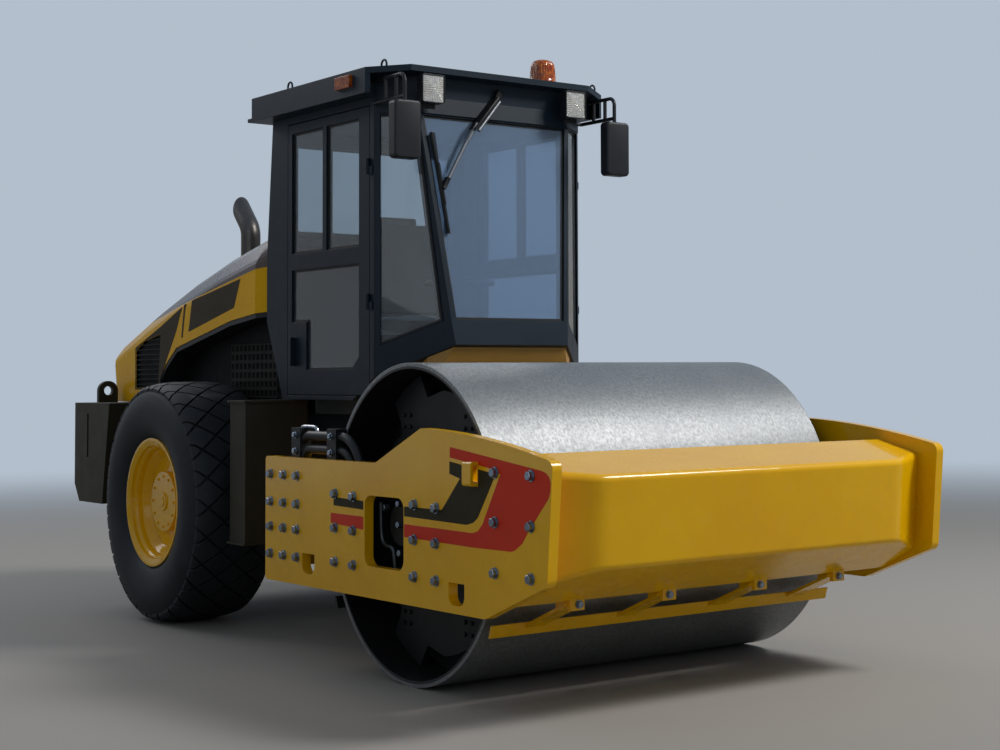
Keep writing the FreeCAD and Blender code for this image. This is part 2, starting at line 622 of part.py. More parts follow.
def turned(outline, y, z):
    """A section of (x, radius) corners turned about an axle that lies along X."""
    body = doc.addObject("PartDesign::Body", "Turned")
    plane = [item for item in body.Origin.OriginFeatures if item.Role == "XZ_Plane"][0]
    sketch = body.newObject("Sketcher::SketchObject", "Section")
    sketch.AttachmentSupport = [(plane, "")]
    sketch.MapMode = "FlatFace"
    draw(sketch, outline)
    spin = body.newObject("PartDesign::Revolution", "Spin")
    spin.Profile = sketch
    spin.ReferenceAxis = (sketch, ["H_Axis"])
    spin.Angle = 360
    body.Tip = spin
    place(body, Rotation(), y=y, z=z)
    return body


def sorted_span(one, other):
    one, other = term(one), term(other)
    return (one, other) if one.value < other.value else (other, one)


def fuse(*shapes):
    if len(shapes) == 1:
        return shapes[0]
    whole = doc.addObject("Part::MultiFuse", "Welded")
    whole.Shapes = list(shapes)
    whole.Refine = True
    return whole


def cut(base, *tools):
    rest = doc.addObject("Part::Cut", "Opened")
    rest.Base = base
    rest.Tool = fuse(*tools)
    rest.Refine = True
    return rest


def common(*shapes):
    shared = doc.addObject("Part::MultiCommon", "Shared")
    shared.Shapes = list(shapes)
    return shared


def mirrored(source):
    other = doc.addObject("Part::Mirroring", "Other")
    other.Source = source
    other.Normal = Vector(1, 0, 0)
    return other


def rounded(base, radius, wanted):
    """Round the edges of a solid whose middle point passes the test."""
    doc.recompute()
    fillet = doc.addObject("Part::Fillet", "Rounded")
    fillet.Base = base
    edges = []
    for number, edge in enumerate(base.Shape.Edges, start=1):
        if wanted(edge):
            edges.append((number, radius.value, radius.value))
    fillet.Edges = edges
    return fillet


def along(edge, axis):
    """True for a straight edge that runs along an axis."""
    ends = [vertex.Point for vertex in edge.Vertexes]
    if len(ends) != 2:
        return False
    run = ends[1] - ends[0]
    return abs(run.normalize().dot(DIRECTION[axis])) > 0.999


nodes = {}


def node(label, *shapes):
    """One named sub-part of the machine."""
    part = doc.addObject("Part::Compound", "Node")
    part.Links = list(shapes)
    part.Label = label
    nodes[label] = part
    return part


axle_z = size.drum_radius
wheel_axle_z = size.tyre_radius

# Drum: a rolled shell with two end discs, a hub in each and round access holes
disc_outer = size.drum_half_width - size.drum_recess
disc_inner = disc_outer - size.drum_disc
shell_inner = size.drum_radius - size.drum_wall
hub_end = disc_outer + size.drum_hub_reach
hub_bore = size.journal_radius + size.running_fit


def drum_half(side):
    """Section of one end, from the rim to the tube between the end discs."""
    return [
        (side * size.drum_half_width, size.drum_radius),
        (side * size.drum_half_width, shell_inner),
        (side * disc_outer, shell_inner),
        (side * disc_outer, size.drum_hub_radius),
        (side * hub_end, size.drum_hub_radius),
        (side * hub_end, hub_bore),
    ]


def drum_hollow(side):
    return [
        (side * disc_inner, size.drum_hub_radius),
        (side * disc_inner, shell_inner),
    ]


drum_section = drum_half(1) + drum_half(-1)[::-1]
drum_void_section = drum_hollow(1) + drum_hollow(-1)[::-1]
drum_body = turned(drum_section, 0, axle_z)
drum_void = turned(drum_void_section, 0, axle_z)
access = []
for turn in (0, 90, 180, 270):
    access.append(rod("X", size.drum_access_radius,
                      (size.drum_access_circle * cosine(turn), axle_z + size.drum_access_circle * sine(turn)),
                      (-hub_end, hub_end)))
node("drum_shell", cut(drum_body, drum_void, *access))

# Each end of the drum turns on a shaft whose plate hangs on four rubber buffers in a lobed plate.
# Columns: distance behind the axle, height above the axle, radius of the arc that follows or 0
LOBE_OUTLINE = (
    (442, 300, 0),
    (442, 373, 0),
    (349, 429, 0),
    (356, 484, 0),
    (420, 592, 745),
    (165, 734, 0),
    (94, 625, 0),
    (-60, 661, 664),
    (-575, 332, 0),
    (-575, 200, 0),
)
carrier_inner = hub_end + size.face_gap
carrier_outer = carrier_inner + size.carrier_thickness
lobe_outer = size.lobe_plate_outer
lobe_inner = lobe_outer - size.lobe_plate_thickness
buffer_spots = []
for turn in (size.buffer_angle, 180 - size.buffer_angle, 180 + size.buffer_angle, 360 - size.buffer_angle):
    buffer_spots.append((size.buffer_circle * cosine(turn), axle_z + size.buffer_circle * sine(turn)))


def lobe_corners():
    """The lobed plate's outline: its upper half, then the same corners mirrored below."""
    upper = [(y, z, radius) for y, z, radius in LOBE_OUTLINE]
    corners = []
    for y, z, radius in upper:
        corners.append((term(y), axle_z + z, radius) if radius else (term(y), axle_z + z))
    for index in range(len(upper) - 1, -1, -1):
        y, z, _ = upper[index]
        radius = upper[index - 1][2] if index else 0
        corners.append((term(y), axle_z - z, radius) if radius else (term(y), axle_z - z))
    return corners


carrier_span = (-carrier_outer, -carrier_inner)
carrier = [rod("X", size.drum_hub_radius * 1.6, (0, axle_z), carrier_span)]
for spot in buffer_spots:
    across = (spot[1] - axle_z) / size.buffer_circle * size.carrier_ear
    lengthwise = spot[0] / size.buffer_circle * size.carrier_ear
    carrier.append(rod("X", size.carrier_ear, spot, carrier_span))
    carrier.append(prism("X", [
        (across, axle_z - lengthwise),
        (spot[0] + across, spot[1] - lengthwise),
        (spot[0] - across, spot[1] + lengthwise),
        (-across, axle_z + lengthwise),
    ], carrier_span))
journal = rod("X", size.journal_radius, (0, axle_z), (-carrier_outer, -disc_inner))
shaft_plate = fuse(*carrier, journal)
spacers = []
for middle in (-size.spacer_front, size.spacer_rear):
    spacers.append(block((-plate_inner, -lobe_outer), (middle - size.spacer_out, middle + size.spacer_out),
                         (size.spacer_low_z, size.spacer_high_z)))
motor_end = lobe_outer + size.motor_reach
motor = [rod("X", size.motor_radius, (0, axle_z), (-motor_end, -lobe_outer)),
         rod("X", size.motor_cap_radius, (0, axle_z), (-motor_end - size.motor_cap_reach, -motor_end))]
lobe_plate = fuse(prism("X", lobe_corners(), (-lobe_outer, -lobe_inner)), *spacers, *motor)
node("drum_mount_right", shaft_plate, lobe_plate)
node("drum_mount_left", mirrored(shaft_plate), mirrored(lobe_plate))
buffer_set = fuse(*[rod("X", size.buffer_radius, spot, (-lobe_inner, -carrier_outer)) for spot in buffer_spots])
node("rubber_buffers", buffer_set, mirrored(buffer_set))

# Side plates: 50 mm plate with an arched top edge, a window and D-shaped holes
plate_outline = [
    (-size.plate_front_low, size.plate_front_low_z),
    (-size.plate_nose_low, size.plate_bottom_z),
    (size.plate_rear, size.plate_bottom_z),
    (size.plate_rear, size.plate_arm_z),
    (size.plate_arm, size.plate_arm_z),
    (-size.plate_crest, size.plate_crest_z, size.plate_crown_radius),
    (-size.plate_front_top, size.plate_front_top_z),
]
window = [
    (-size.window_front, size.window_low_z),
    (size.window_rear, size.window_low_z),
    (size.window_rear, size.window_high_z),
    (-size.window_front, size.window_high_z),
]
plate_span = (-size.plate_outer, -plate_inner)
plate_blank = prism("X", plate_outline, plate_span)


def near(y, z):
    """A test for the edge along X that lies at a place."""
    return lambda edge: along(edge, "X") and (edge.CenterOfMass - Vector(edge.CenterOfMass.x, y, z)).Length < 2


plate_corners = (
    (size.plate_nose_corner, -size.plate_front_top, size.plate_front_top_z),
    (size.plate_nose_corner, -size.plate_front_low, size.plate_front_low_z),
    (size.plate_nose_corner, -size.plate_nose_low, size.plate_bottom_z),
    (size.plate_corner, size.plate_rear, size.plate_bottom_z),
    (size.plate_corner, size.plate_rear, size.plate_arm_z),
    (size.plate_waist_corner, size.plate_arm, size.plate_arm_z),
    (size.plate_waist_corner, -size.plate_crest, size.plate_crest_z),
)
for radius, y, z in plate_corners:
    plate_blank = rounded(plate_blank, radius, near(y.value, z.value))
window_hole = rounded(prism("X", window, plate_span), size.window_corner, lambda edge: along(edge, "X"))
lash_holes = []
for middle, low in ((-size.lash_front, size.lash_front_z), (size.lash_rear, size.lash_rear_z)):
    hole = block(plate_span, (middle - size.lash_hole_half, middle + size.lash_hole_half),
                 (low, low + size.lash_hole_height))
    lash_holes.append(rounded(hole, size.lash_hole_corner,
                              lambda edge, low=low: along(edge, "X") and edge.CenterOfMass.z < low.value + 1))
strap_y = (-size.tie_y - size.tie_half, -size.tie_y + size.tie_half)
strap_outer = -size.plate_outer - size.tie_reach
strap = block((strap_outer, -size.plate_outer), strap_y, (size.tie_low_z, size.tie_high_z))
strap = rounded(strap, size.tie_bar,
                lambda edge: along(edge, "Y") and edge.CenterOfMass.x < -size.plate_outer.value - 1)
strap_hole = block((strap_outer + size.tie_bar, -size.plate_outer), strap_y,
                   (size.tie_low_z + size.tie_bar, size.tie_high_z - size.tie_bar))
strap_slot = block(plate_span, (strap_y[0] + 8, strap_y[1] - 8),
                   (size.tie_low_z + size.tie_bar + 6, size.tie_high_z - size.tie_bar - 6))
side_plate = fuse(cut(plate_blank, window_hole, *lash_holes, strap_slot), cut(strap, strap_hole))
node("side_plate_right", side_plate)
node("side_plate_left", mirrored(side_plate))

# Front beam: a folded box between the side plates, its ends sloping back
front_section = [
    (-size.front_beam_top, size.front_beam_top_z),
    (-size.front_beam_low, size.front_beam_low_z),
    (-size.front_beam_back, size.front_beam_foot_z),
    (-size.front_beam_back, size.front_beam_crest_z),
]
beam_span = (-plate_inner, plate_inner)
front_blank = prism("X", front_section, beam_span)
corner_low = size.front_beam_foot_z - 10
corner_high = size.front_beam_crest_z + 10
front_lean = (size.front_beam_top - size.front_beam_low) / (size.front_beam_top_z - size.front_beam_low_z)


def beam_corner_section(side, z):
    """What is cut from one end of the front beam at a height, along its leaning front face."""
    face = -size.front_beam_low - (z - size.front_beam_low_z) * front_lean
    return [
        (side * size.front_beam_half, face - 1),
        (side * (plate_inner + 1), face + size.front_beam_corner),
        (side * (plate_inner + 1), face - 1),
    ]


def beam_corner(side):
    """The wedge cut from one front corner of the front beam."""
    return ruled_wedge(beam_corner_section(side, corner_low), corner_low,
                       beam_corner_section(side, corner_high), corner_high)


def upright(edge):
    return abs(edge.Vertexes[0].Point.z - edge.Vertexes[-1].Point.z) > size.drum_wall.value * 3


def end_fold(edge):
    """True for the two upright edges where the front beam's ends begin to slope back."""
    spots = [vertex.Point for vertex in edge.Vertexes]
    return upright(edge) and all(abs(abs(spot.x) - size.front_beam_half.value) < 8 for spot in spots)


def long_fold(edge):
    """True for the edges along the front beam's front face and its sloped ends."""
    spots = [vertex.Point for vertex in edge.Vertexes]
    limit = -size.front_beam_low.value + size.front_beam_corner.value + 40
    inner = plate_inner.value - 1
    ahead = all(spot.y < limit for spot in spots)
    return ahead and not upright(edge) and not all(abs(spot.x) > inner for spot in spots)


front_beam = cut(front_blank, beam_corner(1), beam_corner(-1))
front_beam = rounded(front_beam, size.front_beam_end_fold, end_fold)
front_beam = rounded(front_beam, size.front_beam_fold, long_fold)
node("front_beam", front_beam)

# Rear beam with the bearing block for the oscillation shaft
bearing_front = size.plate_rear
bearing_rear = size.plate_rear + size.yoke_flange
rear_blank = block(beam_span, (size.rear_beam_front, size.plate_rear),
                   (size.rear_beam_low_z, size.rear_beam_high_z))
bearing = rod("Y", size.yoke_flange_radius, (0, size.pivot_z), (bearing_front, bearing_rear))
bearing_bore = rod("Y", size.yoke_neck_radius + size.running_fit, (0, size.pivot_z),
                   (size.rear_beam_front + 120, bearing_rear))


def cylinder_ears(x, y, root_x, root_y, pinned):
    """Two plates for one steering cylinder's eye; the pin passes through, or ends in each plate."""
    parts = []
    half = size.eye_pin_radius * 2.2
    upper = size.cylinder_z + size.eye_plate_gap
    lower = size.cylinder_z - size.eye_plate_gap
    for low, high in ((upper, upper + size.eye_plate), (lower - size.eye_plate, lower)):
        parts.append(rod("Z", half, (x, y), (low, high)))
        parts.append(block(root_x, root_y, (low, high)))
    pin_low = lower - size.eye_plate - 12
    pin_high = upper + size.eye_plate + 12
    if pinned:
        parts.append(rod("Z", size.eye_pin_radius, (x, y), (pin_low, pin_high)))
    else:
        parts.append(rod("Z", size.eye_pin_radius, (x, y), (pin_low, lower)))
        parts.append(rod("Z", size.eye_pin_radius, (x, y), (upper, pin_high)))
    return parts


rear_beam = cut(fuse(rear_blank, bearing), bearing_bore)
node("rear_beam", rear_beam)

# Scrapers: a bar that follows the drum on four sloped brackets, front and rear
bar_mid_z = (size.scraper_low_z + size.scraper_high_z) / 2


def scraper(side, bracket_y, beam, beam_z):
    """One scraper, ahead of the drum for -1 and behind it for 1, hung under a beam."""
    bar = prism("X", [
        (side * (size.scraper_y - 20), size.scraper_low_z),
        (side * (size.scraper_y - 20 + size.scraper_bar), size.scraper_low_z),
        (side * (size.scraper_y + size.scraper_bar), size.scraper_high_z),
        (side * size.scraper_y, size.scraper_high_z),
    ], (-size.scraper_half, size.scraper_half))
    parts = [bar]
    near_bar = side * (size.scraper_y - 4)
    far_end = side * bracket_y
    web_end = far_end - side * size.bracket_web
    arm_z = size.bracket_low_z + 20
    web_z = arm_z + (bar_mid_z - arm_z) * (far_end - web_end) / (far_end - near_bar)
    for x in (-size.bracket_outer, -size.bracket_inner, size.bracket_inner, size.bracket_outer):
        half_width = size.bracket_width / 2
        wide = (x - half_width - 15, x + half_width + 15)
        parts.append(prism("X", [
            (near_bar, bar_mid_z),
            (far_end, arm_z),
            (far_end, arm_z + size.scraper_arm),
            (near_bar, bar_mid_z + size.scraper_arm),
        ], wide))
        plate_span_y = sorted_span(far_end, far_end + side * size.bracket_thickness)
        plate = block((x - half_width, x + half_width), plate_span_y, (size.bracket_low_z, beam_z))
        notch = rod("Y", size.bracket_notch, (x + half_width, size.bracket_low_z + size.bracket_notch_rise),
                    plate_span_y)
        parts.append(cut(plate, notch))
        parts.append(prism("X", [
            (far_end, arm_z),
            (web_end, web_z),
            (web_end, beam_z),
            (far_end, beam_z),
        ], (x - half_width, x - half_width + size.bracket_web_thickness)))
    return cut(fuse(*parts), beam)


node("scraper_front", scraper(-1, size.bracket_front, front_beam, size.front_beam_foot_z + 40))
node("scraper_rear", scraper(1, size.bracket_rear, rear_beam, size.rear_beam_low_z))

# Articulation yoke: a vertical barrel for the pin and a shaft that lets the front frame roll
barrel_low = size.pivot_z - size.yoke_half_height
barrel_high = size.pivot_z + size.yoke_half_height
yoke_barrel = rod("Z", size.yoke_radius, (0, size.pivot_y), (barrel_low, barrel_high))
yoke_collar = rod("Y", size.yoke_flange_radius - 30, (0, size.pivot_z),
                  (bearing_rear + size.face_gap, bearing_rear + 40))
yoke_shaft = rod("Y", size.yoke_neck_radius, (0, size.pivot_z), (size.rear_beam_front + 160, size.pivot_y))
yoke_bore = rod("Z", size.pivot_pin_radius + size.running_fit, (0, size.pivot_y), (barrel_low, barrel_high))
arm_front = bearing_rear + 5
yoke_arms = []
for side in (-1, 1):
    yoke_arms.extend(cylinder_ears(side * size.cylinder_x, size.cylinder_front,
                                   sorted_span(term(0), side * size.cylinder_x),
                                   (arm_front, size.cylinder_front + size.eye_pin_radius * 2.2), False))
node("articulation_yoke", cut(fuse(yoke_barrel, yoke_collar, yoke_shaft, *yoke_arms), yoke_bore))

# Rear chassis: two rails with an arch over the axle, cross plates, deck strips and the pivot ears
rail_outer = size.rail_middle + size.rail_thickness / 2
rail_inner = size.rail_middle - size.rail_thickness / 2
arch_half = size.axle_radius + 150
rail_section = [
    (size.rail_front, size.rail_low_z),
    (size.wheelbase - arch_half - 180, size.rail_low_z),
    (size.wheelbase - arch_half, size.rail_arch_z),
    (size.wheelbase + arch_half, size.rail_arch_z),
    (size.wheelbase + arch_half + 180, size.weight_low_z),
    (size.weight_front_low, size.weight_low_z),
    (size.weight_front_high, size.rail_high_z),
    (size.rail_front, size.rail_high_z),
]
rails = [prism("X", rail_section, (-rail_outer, -rail_inner)),
         prism("X", rail_section, (rail_inner, rail_outer))]
deck_low = size.rail_high_z
deck_high = size.rail_high_z + size.deck_thickness
deck = [block((-size.bay_half, -rail_inner), (size.tank_rear, size.weight_front_high), (deck_low, deck_high)),
        block((rail_inner, size.bay_half), (size.tank_rear, size.weight_front_high), (deck_low, deck_high))]
cross_span = (size.rail_front, size.rail_front + size.cross_thickness)
cylinder_ways = []
for side in (-1, 1):
    cylinder_ways.append(block(sorted_span(side * 180, side * rail_inner), cross_span,
                               (size.cylinder_z - 70, size.cylinder_z + 70)))
front_cross = cut(block((-rail_inner, rail_inner), cross_span, (size.rail_low_z, size.rail_high_z)),
                  *cylinder_ways)
cylinder_root = size.cylinder_rear + 60
cylinder_cross = block((-rail_inner, rail_inner), (cylinder_root, cylinder_root + size.rail_thickness),
                       (size.rail_low_z, size.cylinder_z + 110))
mid_cross = block((-rail_inner, rail_inner), (size.engine_front - 150, size.engine_front - 100),
                  (size.rail_arch_z, size.rail_high_z))
engine_cross = block((-rail_inner, rail_inner), (size.engine_front + 100, size.engine_front + 180),
                     (size.rail_arch_z, size.engine_low_z))
engine_cross_rear = block((-rail_inner, rail_inner), (size.engine_rear - 180, size.engine_rear - 100),
                          (size.rail_arch_z, size.engine_low_z))
rear_cross = block((-rail_inner, rail_inner), (size.engine_rear + 60, size.engine_rear + 110),
                   (size.weight_low_z + 60, size.rail_high_z))
ears = []
for low in (barrel_high + size.face_gap, barrel_low - size.face_gap - size.ear_thickness):
    high = low + size.ear_thickness
    ears.append(rod("Z", size.ear_radius, (0, size.pivot_y), (low, high)))
    ears.append(prism("Z", [
        (-size.ear_radius, size.pivot_y),
        (size.ear_radius, size.pivot_y),
        (rail_inner, size.rail_front),
        (rail_inner, size.rail_front + 10),
        (-rail_inner, size.rail_front + 10),
        (-rail_inner, size.rail_front),
    ], (low, high)))
pin_reach = size.face_gap + size.ear_thickness + 20
pivot_pin = rod("Z", size.pivot_pin_radius, (0, size.pivot_y), (barrel_low - pin_reach, barrel_high + pin_reach))
chassis_ears = []
ear_half = size.eye_pin_radius * 2.2
for side in (-1, 1):
    x = side * size.cylinder_rear_x
    chassis_ears.extend(cylinder_ears(x, size.cylinder_rear, (x - ear_half, x + ear_half),
                                      (size.cylinder_rear, cylinder_root), True))
node("rear_chassis", fuse(*rails, *deck, front_cross, cylinder_cross, mid_cross, engine_cross,
                          engine_cross_rear, rear_cross, *ears, pivot_pin, *chassis_ears))

# Rear axle: a tube with a middle housing, spring seats under the rails and two spindles
spindle_end = size.hub_face_x - 30
axle_side = [
    (size.axle_half, size.spindle_radius),
    (size.axle_half, size.axle_radius),
    (size.differential_radius, size.axle_radius),
    (size.differential_radius * 0.8, size.differential_radius * 0.86),
    (size.differential_radius * 0.45, size.differential_radius),
]
axle_section = [(-spindle_end, 0), (spindle_end, 0), (spindle_end, size.spindle_radius)]
axle_section += axle_side
axle_section += [(-x, radius) for x, radius in axle_side[::-1]]
axle_section += [(-spindle_end, size.spindle_radius)]
axle = turned(axle_section, size.wheelbase, wheel_axle_z)
seats = []
for side in (-1, 1):
    seats.append(block(sorted_span(side * (rail_inner - 20), side * (rail_outer + 20)),
                       (size.wheelbase - 110, size.wheelbase + 110), (wheel_axle_z, size.rail_arch_z)))
node("rear_axle", fuse(axle, *seats))

# Wheels: a tyre on a dished rim with the hub cover
tyre_middle = size.tyre_outer - size.tyre_width / 2
half = size.tyre_width / 2
bulge_radius = size.tyre_radius * 0.755
bead_half = half * 0.80
tyre_profile = [
    (-bead_half, size.bead_radius),
    (bead_half, size.bead_radius),
    (bead_half, size.rim_flange_radius + 4),
    (half * 0.94, size.bead_radius + 70),
    (half, bulge_radius),
    (half * 0.93, size.tyre_radius * 0.88),
    (size.tread_half, size.tyre_radius - 22),
    (size.tread_half * 0.45, size.tyre_radius),
    (-size.tread_half * 0.45, size.tyre_radius),
    (-size.tread_half, size.tyre_radius - 22),
    (-half * 0.93, size.tyre_radius * 0.88),
    (-half, bulge_radius),
    (-half * 0.94, size.bead_radius + 70),
    (-bead_half, size.rim_flange_radius + 4),
]
tyre_section = [(x - tyre_middle, radius) for x, radius in tyre_profile]
tyre = turned(tyre_section, size.wheelbase, wheel_axle_z)
rim_outer = tyre_middle + bead_half
rim_inner = tyre_middle - bead_half
flange = 14
rim_section = [
    (-rim_outer - flange, size.rim_flange_radius),
    (-rim_outer, size.rim_flange_radius),
    (-rim_outer, size.bead_radius),
    (-rim_inner, size.bead_radius),
    (-rim_inner, size.rim_flange_radius),
    (-rim_inner + flange, size.rim_flange_radius),
    (-rim_inner + flange, size.bead_radius - size.rim_wall),
    (-size.rim_disc_x + size.rim_disc, size.bead_radius - size.rim_wall),
    (-size.rim_disc_x + size.rim_disc, size.hub_radius + 10),
    (-size.hub_face_x + size.hub_bore_depth, size.hub_radius - 20),
    (-size.hub_face_x + size.hub_bore_depth, size.spindle_radius + size.running_fit),
    (-spindle_end - 3, size.spindle_radius + size.running_fit),
    (-spindle_end - 3, 0),
    (-size.hub_face_x, 0),
    (-size.hub_face_x, size.hub_radius),
    (-size.rim_disc_x, size.hub_radius),
    (-size.rim_disc_x, size.bead_radius - size.rim_wall - 40),
    (-size.rim_disc_x - 60, size.bead_radius - size.rim_wall),
    (-rim_outer, size.bead_radius - size.rim_wall),
    (-rim_outer - flange, size.rim_flange_radius - 14),
]
rim = turned(rim_section, size.wheelbase, wheel_axle_z)
node("tyre_right", tyre)
node("rim_right", rim)
node("tyre_left", mirrored(tyre))
node("rim_left", mirrored(rim))

# Counterweight: a cast block behind the wheels, and its two lifting lugs
weight_section = [
    (size.weight_front_low, size.weight_low_z),
    (size.weight_rear - 90, size.weight_low_z),
    (size.weight_rear, size.weight_low_z + 120),
    (size.weight_rear, size.weight_high_z),
    (size.weight_front_high, size.weight_high_z),
]
weight = prism("X", weight_section, (-size.weight_half, size.weight_half))


def lug(side):
    """One lifting lug: a rounded plate with a hole, standing on the counterweight."""
    x = side * size.lug_x
    front = size.lug_y
    top = size.weight_high_z + size.lug_height
    round_z = top - size.lug_half
    upper = rod("Y", size.lug_half, (x, round_z), (front, front + size.lug_thickness))
    foot = block((x - size.lug_half, x + size.lug_half), (front, front + size.lug_thickness),
                 (size.weight_high_z, round_z))
    hole = rod("Y", size.lug_hole_radius, (x, round_z), (front, front + size.lug_thickness))
    return cut(fuse(upper, foot), hole)


slots = []
for side in (-1, 1):
    slots.append(block(sorted_span(side * (size.weight_half - 12), side * size.weight_half),
                       (size.weight_slot_y - 14, size.weight_slot_y + 14),
                       (size.weight_slot_low_z, size.weight_slot_high_z)))
hinge_ears = []
hood_knuckles = []
for side in (-1, 1):
    ear = sorted_span(side * size.hood_hinge_x, side * (size.hood_hinge_x + 30))
    sleeve = sorted_span(side * (size.hood_hinge_x + 31), side * (size.hood_hinge_x + 71))
    pin_span = sorted_span(side * size.hood_hinge_x, side * (size.hood_hinge_x + 71))
    axis_at = (size.hood_hinge_y, size.hood_hinge_z)
    hinge_ears.append(rod("X", size.hinge_radius, axis_at, ear))
    hinge_ears.append(rod("X", size.hinge_pin_radius, axis_at, pin_span))
    hinge_ears.append(block(ear, (size.weight_rear - 10, size.hood_hinge_y + size.hinge_radius),
                            (size.weight_high_z - 60, size.weight_high_z)))
    knuckle_whole = fuse(rod("X", size.hinge_radius, axis_at, sleeve),
                         block(sleeve, (size.hood_rear_low - 12, size.hood_hinge_y),
                               (size.hood_hinge_z, size.hood_hinge_z + size.hinge_radius)))
    hood_knuckles.append(cut(knuckle_whole, rod("X", size.hinge_pin_radius + size.running_fit, axis_at, sleeve)))
node("counterweight", fuse(cut(weight, *slots), lug(-1), lug(1), *hinge_ears))

# Tank boxes in front of the wheels, with flanges at top and bottom
tank_body = block((-size.tank_outer, -size.tank_inner), (size.tank_front, size.tank_rear),
                  (size.tank_low_z, size.tank_high_z))
tank_rims = []
for low in (size.tank_low_z, size.tank_high_z - size.tank_flange):
    tank_rims.append(block((-size.tank_outer - size.tank_flange, -size.tank_inner),
                           (size.tank_front - size.tank_flange, size.tank_rear + size.tank_flange),
                           (low, low + size.tank_flange)))
tank_arm = block((-size.tank_inner, -rail_outer), (size.tank_front + 40, size.tank_rear - 40),
                 (size.rail_low_z + 100, size.rail_high_z - 100))
tank = fuse(tank_body, tank_arm, *tank_rims)
node("tank_right", tank)
node("tank_left", mirrored(tank))

# Engine: one plain block on its cross members
node("engine_block", block((-size.engine_half_width, size.engine_half_width),
                           (size.engine_front, size.engine_rear), (size.engine_low_z, size.engine_high_z)))

# Engine bay: side panels over the deck and the arch panels over the wheels
arch_line = [
    (size.hood_front, size.arch_front_z),
    (size.arch_crown_y, size.arch_crown_z),
    (size.arch_mid_y, size.arch_mid_z),
    (size.arch_bend_y, size.arch_bend_z),
    (size.arch_fall_y, size.arch_fall_z),
    (size.arch_foot_y, size.arch_foot_z),
    (size.weight_front_high - 3, size.weight_high_z + 3),
]
band = size.arch_band
arch_low = [(y, z - band) for y, z in arch_line[::-1]]
bay_inner = size.bay_half - size.bay_panel
arch_section = [(y, z) for y, z in arch_line] + arch_low
bay_section = [(y, z - band) for y, z in arch_line[:-1]] + [
    (arch_line[-1][0], arch_line[-1][1] - band),
    (arch_line[-1][0], deck_high),
    (size.hood_front, deck_high),
]
arch_outer = -size.hood_half + 5
arch_plan = [
    (arch_outer + size.hood_tuck, size.hood_front),
    (-bay_inner, size.hood_front),
    (-bay_inner, size.weight_front_high),
    (arch_outer, size.weight_front_high),
    (arch_outer, size.hood_front + size.hood_tuck_reach),
]
arch_panel = common(prism("X", arch_section, (arch_outer, -bay_inner)),
                    prism("Z", arch_plan, (size.weight_high_z - band, size.arch_front_z)))
bay_side = prism("X", bay_section, (-size.bay_half, -bay_inner))
node("wheel_arches", arch_panel, mirrored(arch_panel))
node("bay_panels", bay_side, mirrored(bay_side))


# Hood: sections with sloped shoulders, lofted from the front to the rear, open below
def shoulder(y):
    """Height of the shoulder line: a curve through its front, middle and rear points."""
    points = [(size.hood_front.value, size.hood_front_z.value),
              (size.hood_mid_y.value, size.hood_mid_z.value),
              (size.hood_rear_high.value, size.hood_rear_z.value)]
    total = 0
    for index, (place_y, height) in enumerate(points):
        share = height
        for other, (other_y, _) in enumerate(points):
            if other != index:
                share *= (y - other_y) / (place_y - other_y)
        total += share
    return total


def rise(y):
    """Height of the sloped shoulder above the shoulder line."""
    share = (y - size.hood_front.value) / (size.hood_rear_high.value - size.hood_front.value)
    return size.hood_rise.value + (size.hood_rise_rear.value - size.hood_rise.value) * share


def corner_points(before, corner, after, reach):
    """Three points that round off a corner of the hood's section."""
    start = corner + (before - corner).normalize() * reach
    end = corner + (after - corner).normalize() * reach
    return [start, corner * 0.5 + (start + end) * 0.25, end]


def hood_section(y, inset, low, tuck=0):
    """The hood's section at a place: two sides, two sloped shoulders and a flat top."""
    side = size.hood_half.value - inset - tuck
    crest = size.hood_crest_half.value - inset * 0.55
    line = shoulder(y) - inset * 0.45
    top = shoulder(y) + rise(y) - inset
    right = [Vector(-side, y, low)]
    ridge = Vector(-side, y, line)
    crown = Vector(-crest, y, top)
    right += corner_points(right[0], ridge, crown, size.hood_ridge.value)
    right += corner_points(ridge, crown, Vector(0, y, top), size.hood_crown.value)
    left = [Vector(-point.x, point.y, point.z) for point in right[::-1]]
    return Part.makePolygon(right + left + right[:1])


def hood_form(inset, front, rear, low):
    """The hood's outer or inner form, a ruled loft of sections set in from the outside."""
    sections = [hood_section(front, inset, low, size.hood_tuck.value)]
    front = size.hood_front.value + size.hood_tuck_reach.value
    for step in range(5):
        sections.append(hood_section(front + (rear - front) * step / 4, inset, low))
    return Part.makeLoft(sections, True, True)


def rear_wedge(shift):
    """What lies behind the hood's sloped rear face."""
    low_z = size.weight_high_z.value
    high_y = size.hood_rear_high.value
    high_z = size.hood_rear_high_z.value
    slope = (high_y - size.hood_rear_low.value) / (high_z - low_z)
    beyond = size.hood_rise.value * 2
    points = [Vector(0, size.hood_rear_low.value - 50 * slope - shift, low_z - 50),
              Vector(0, high_y - shift, high_z),
              Vector(0, high_y - shift, high_z + beyond),
              Vector(0, high_y + beyond, high_z + beyond),
              Vector(0, high_y + beyond, low_z - 50)]
    face = Part.Face(Part.makePolygon(points + points[:1]))
    wedge = face.extrude(Vector(2 * size.hood_half.value + 40, 0, 0))
    wedge.translate(Vector(-size.hood_half.value - 20, 0, 0))
    return wedge


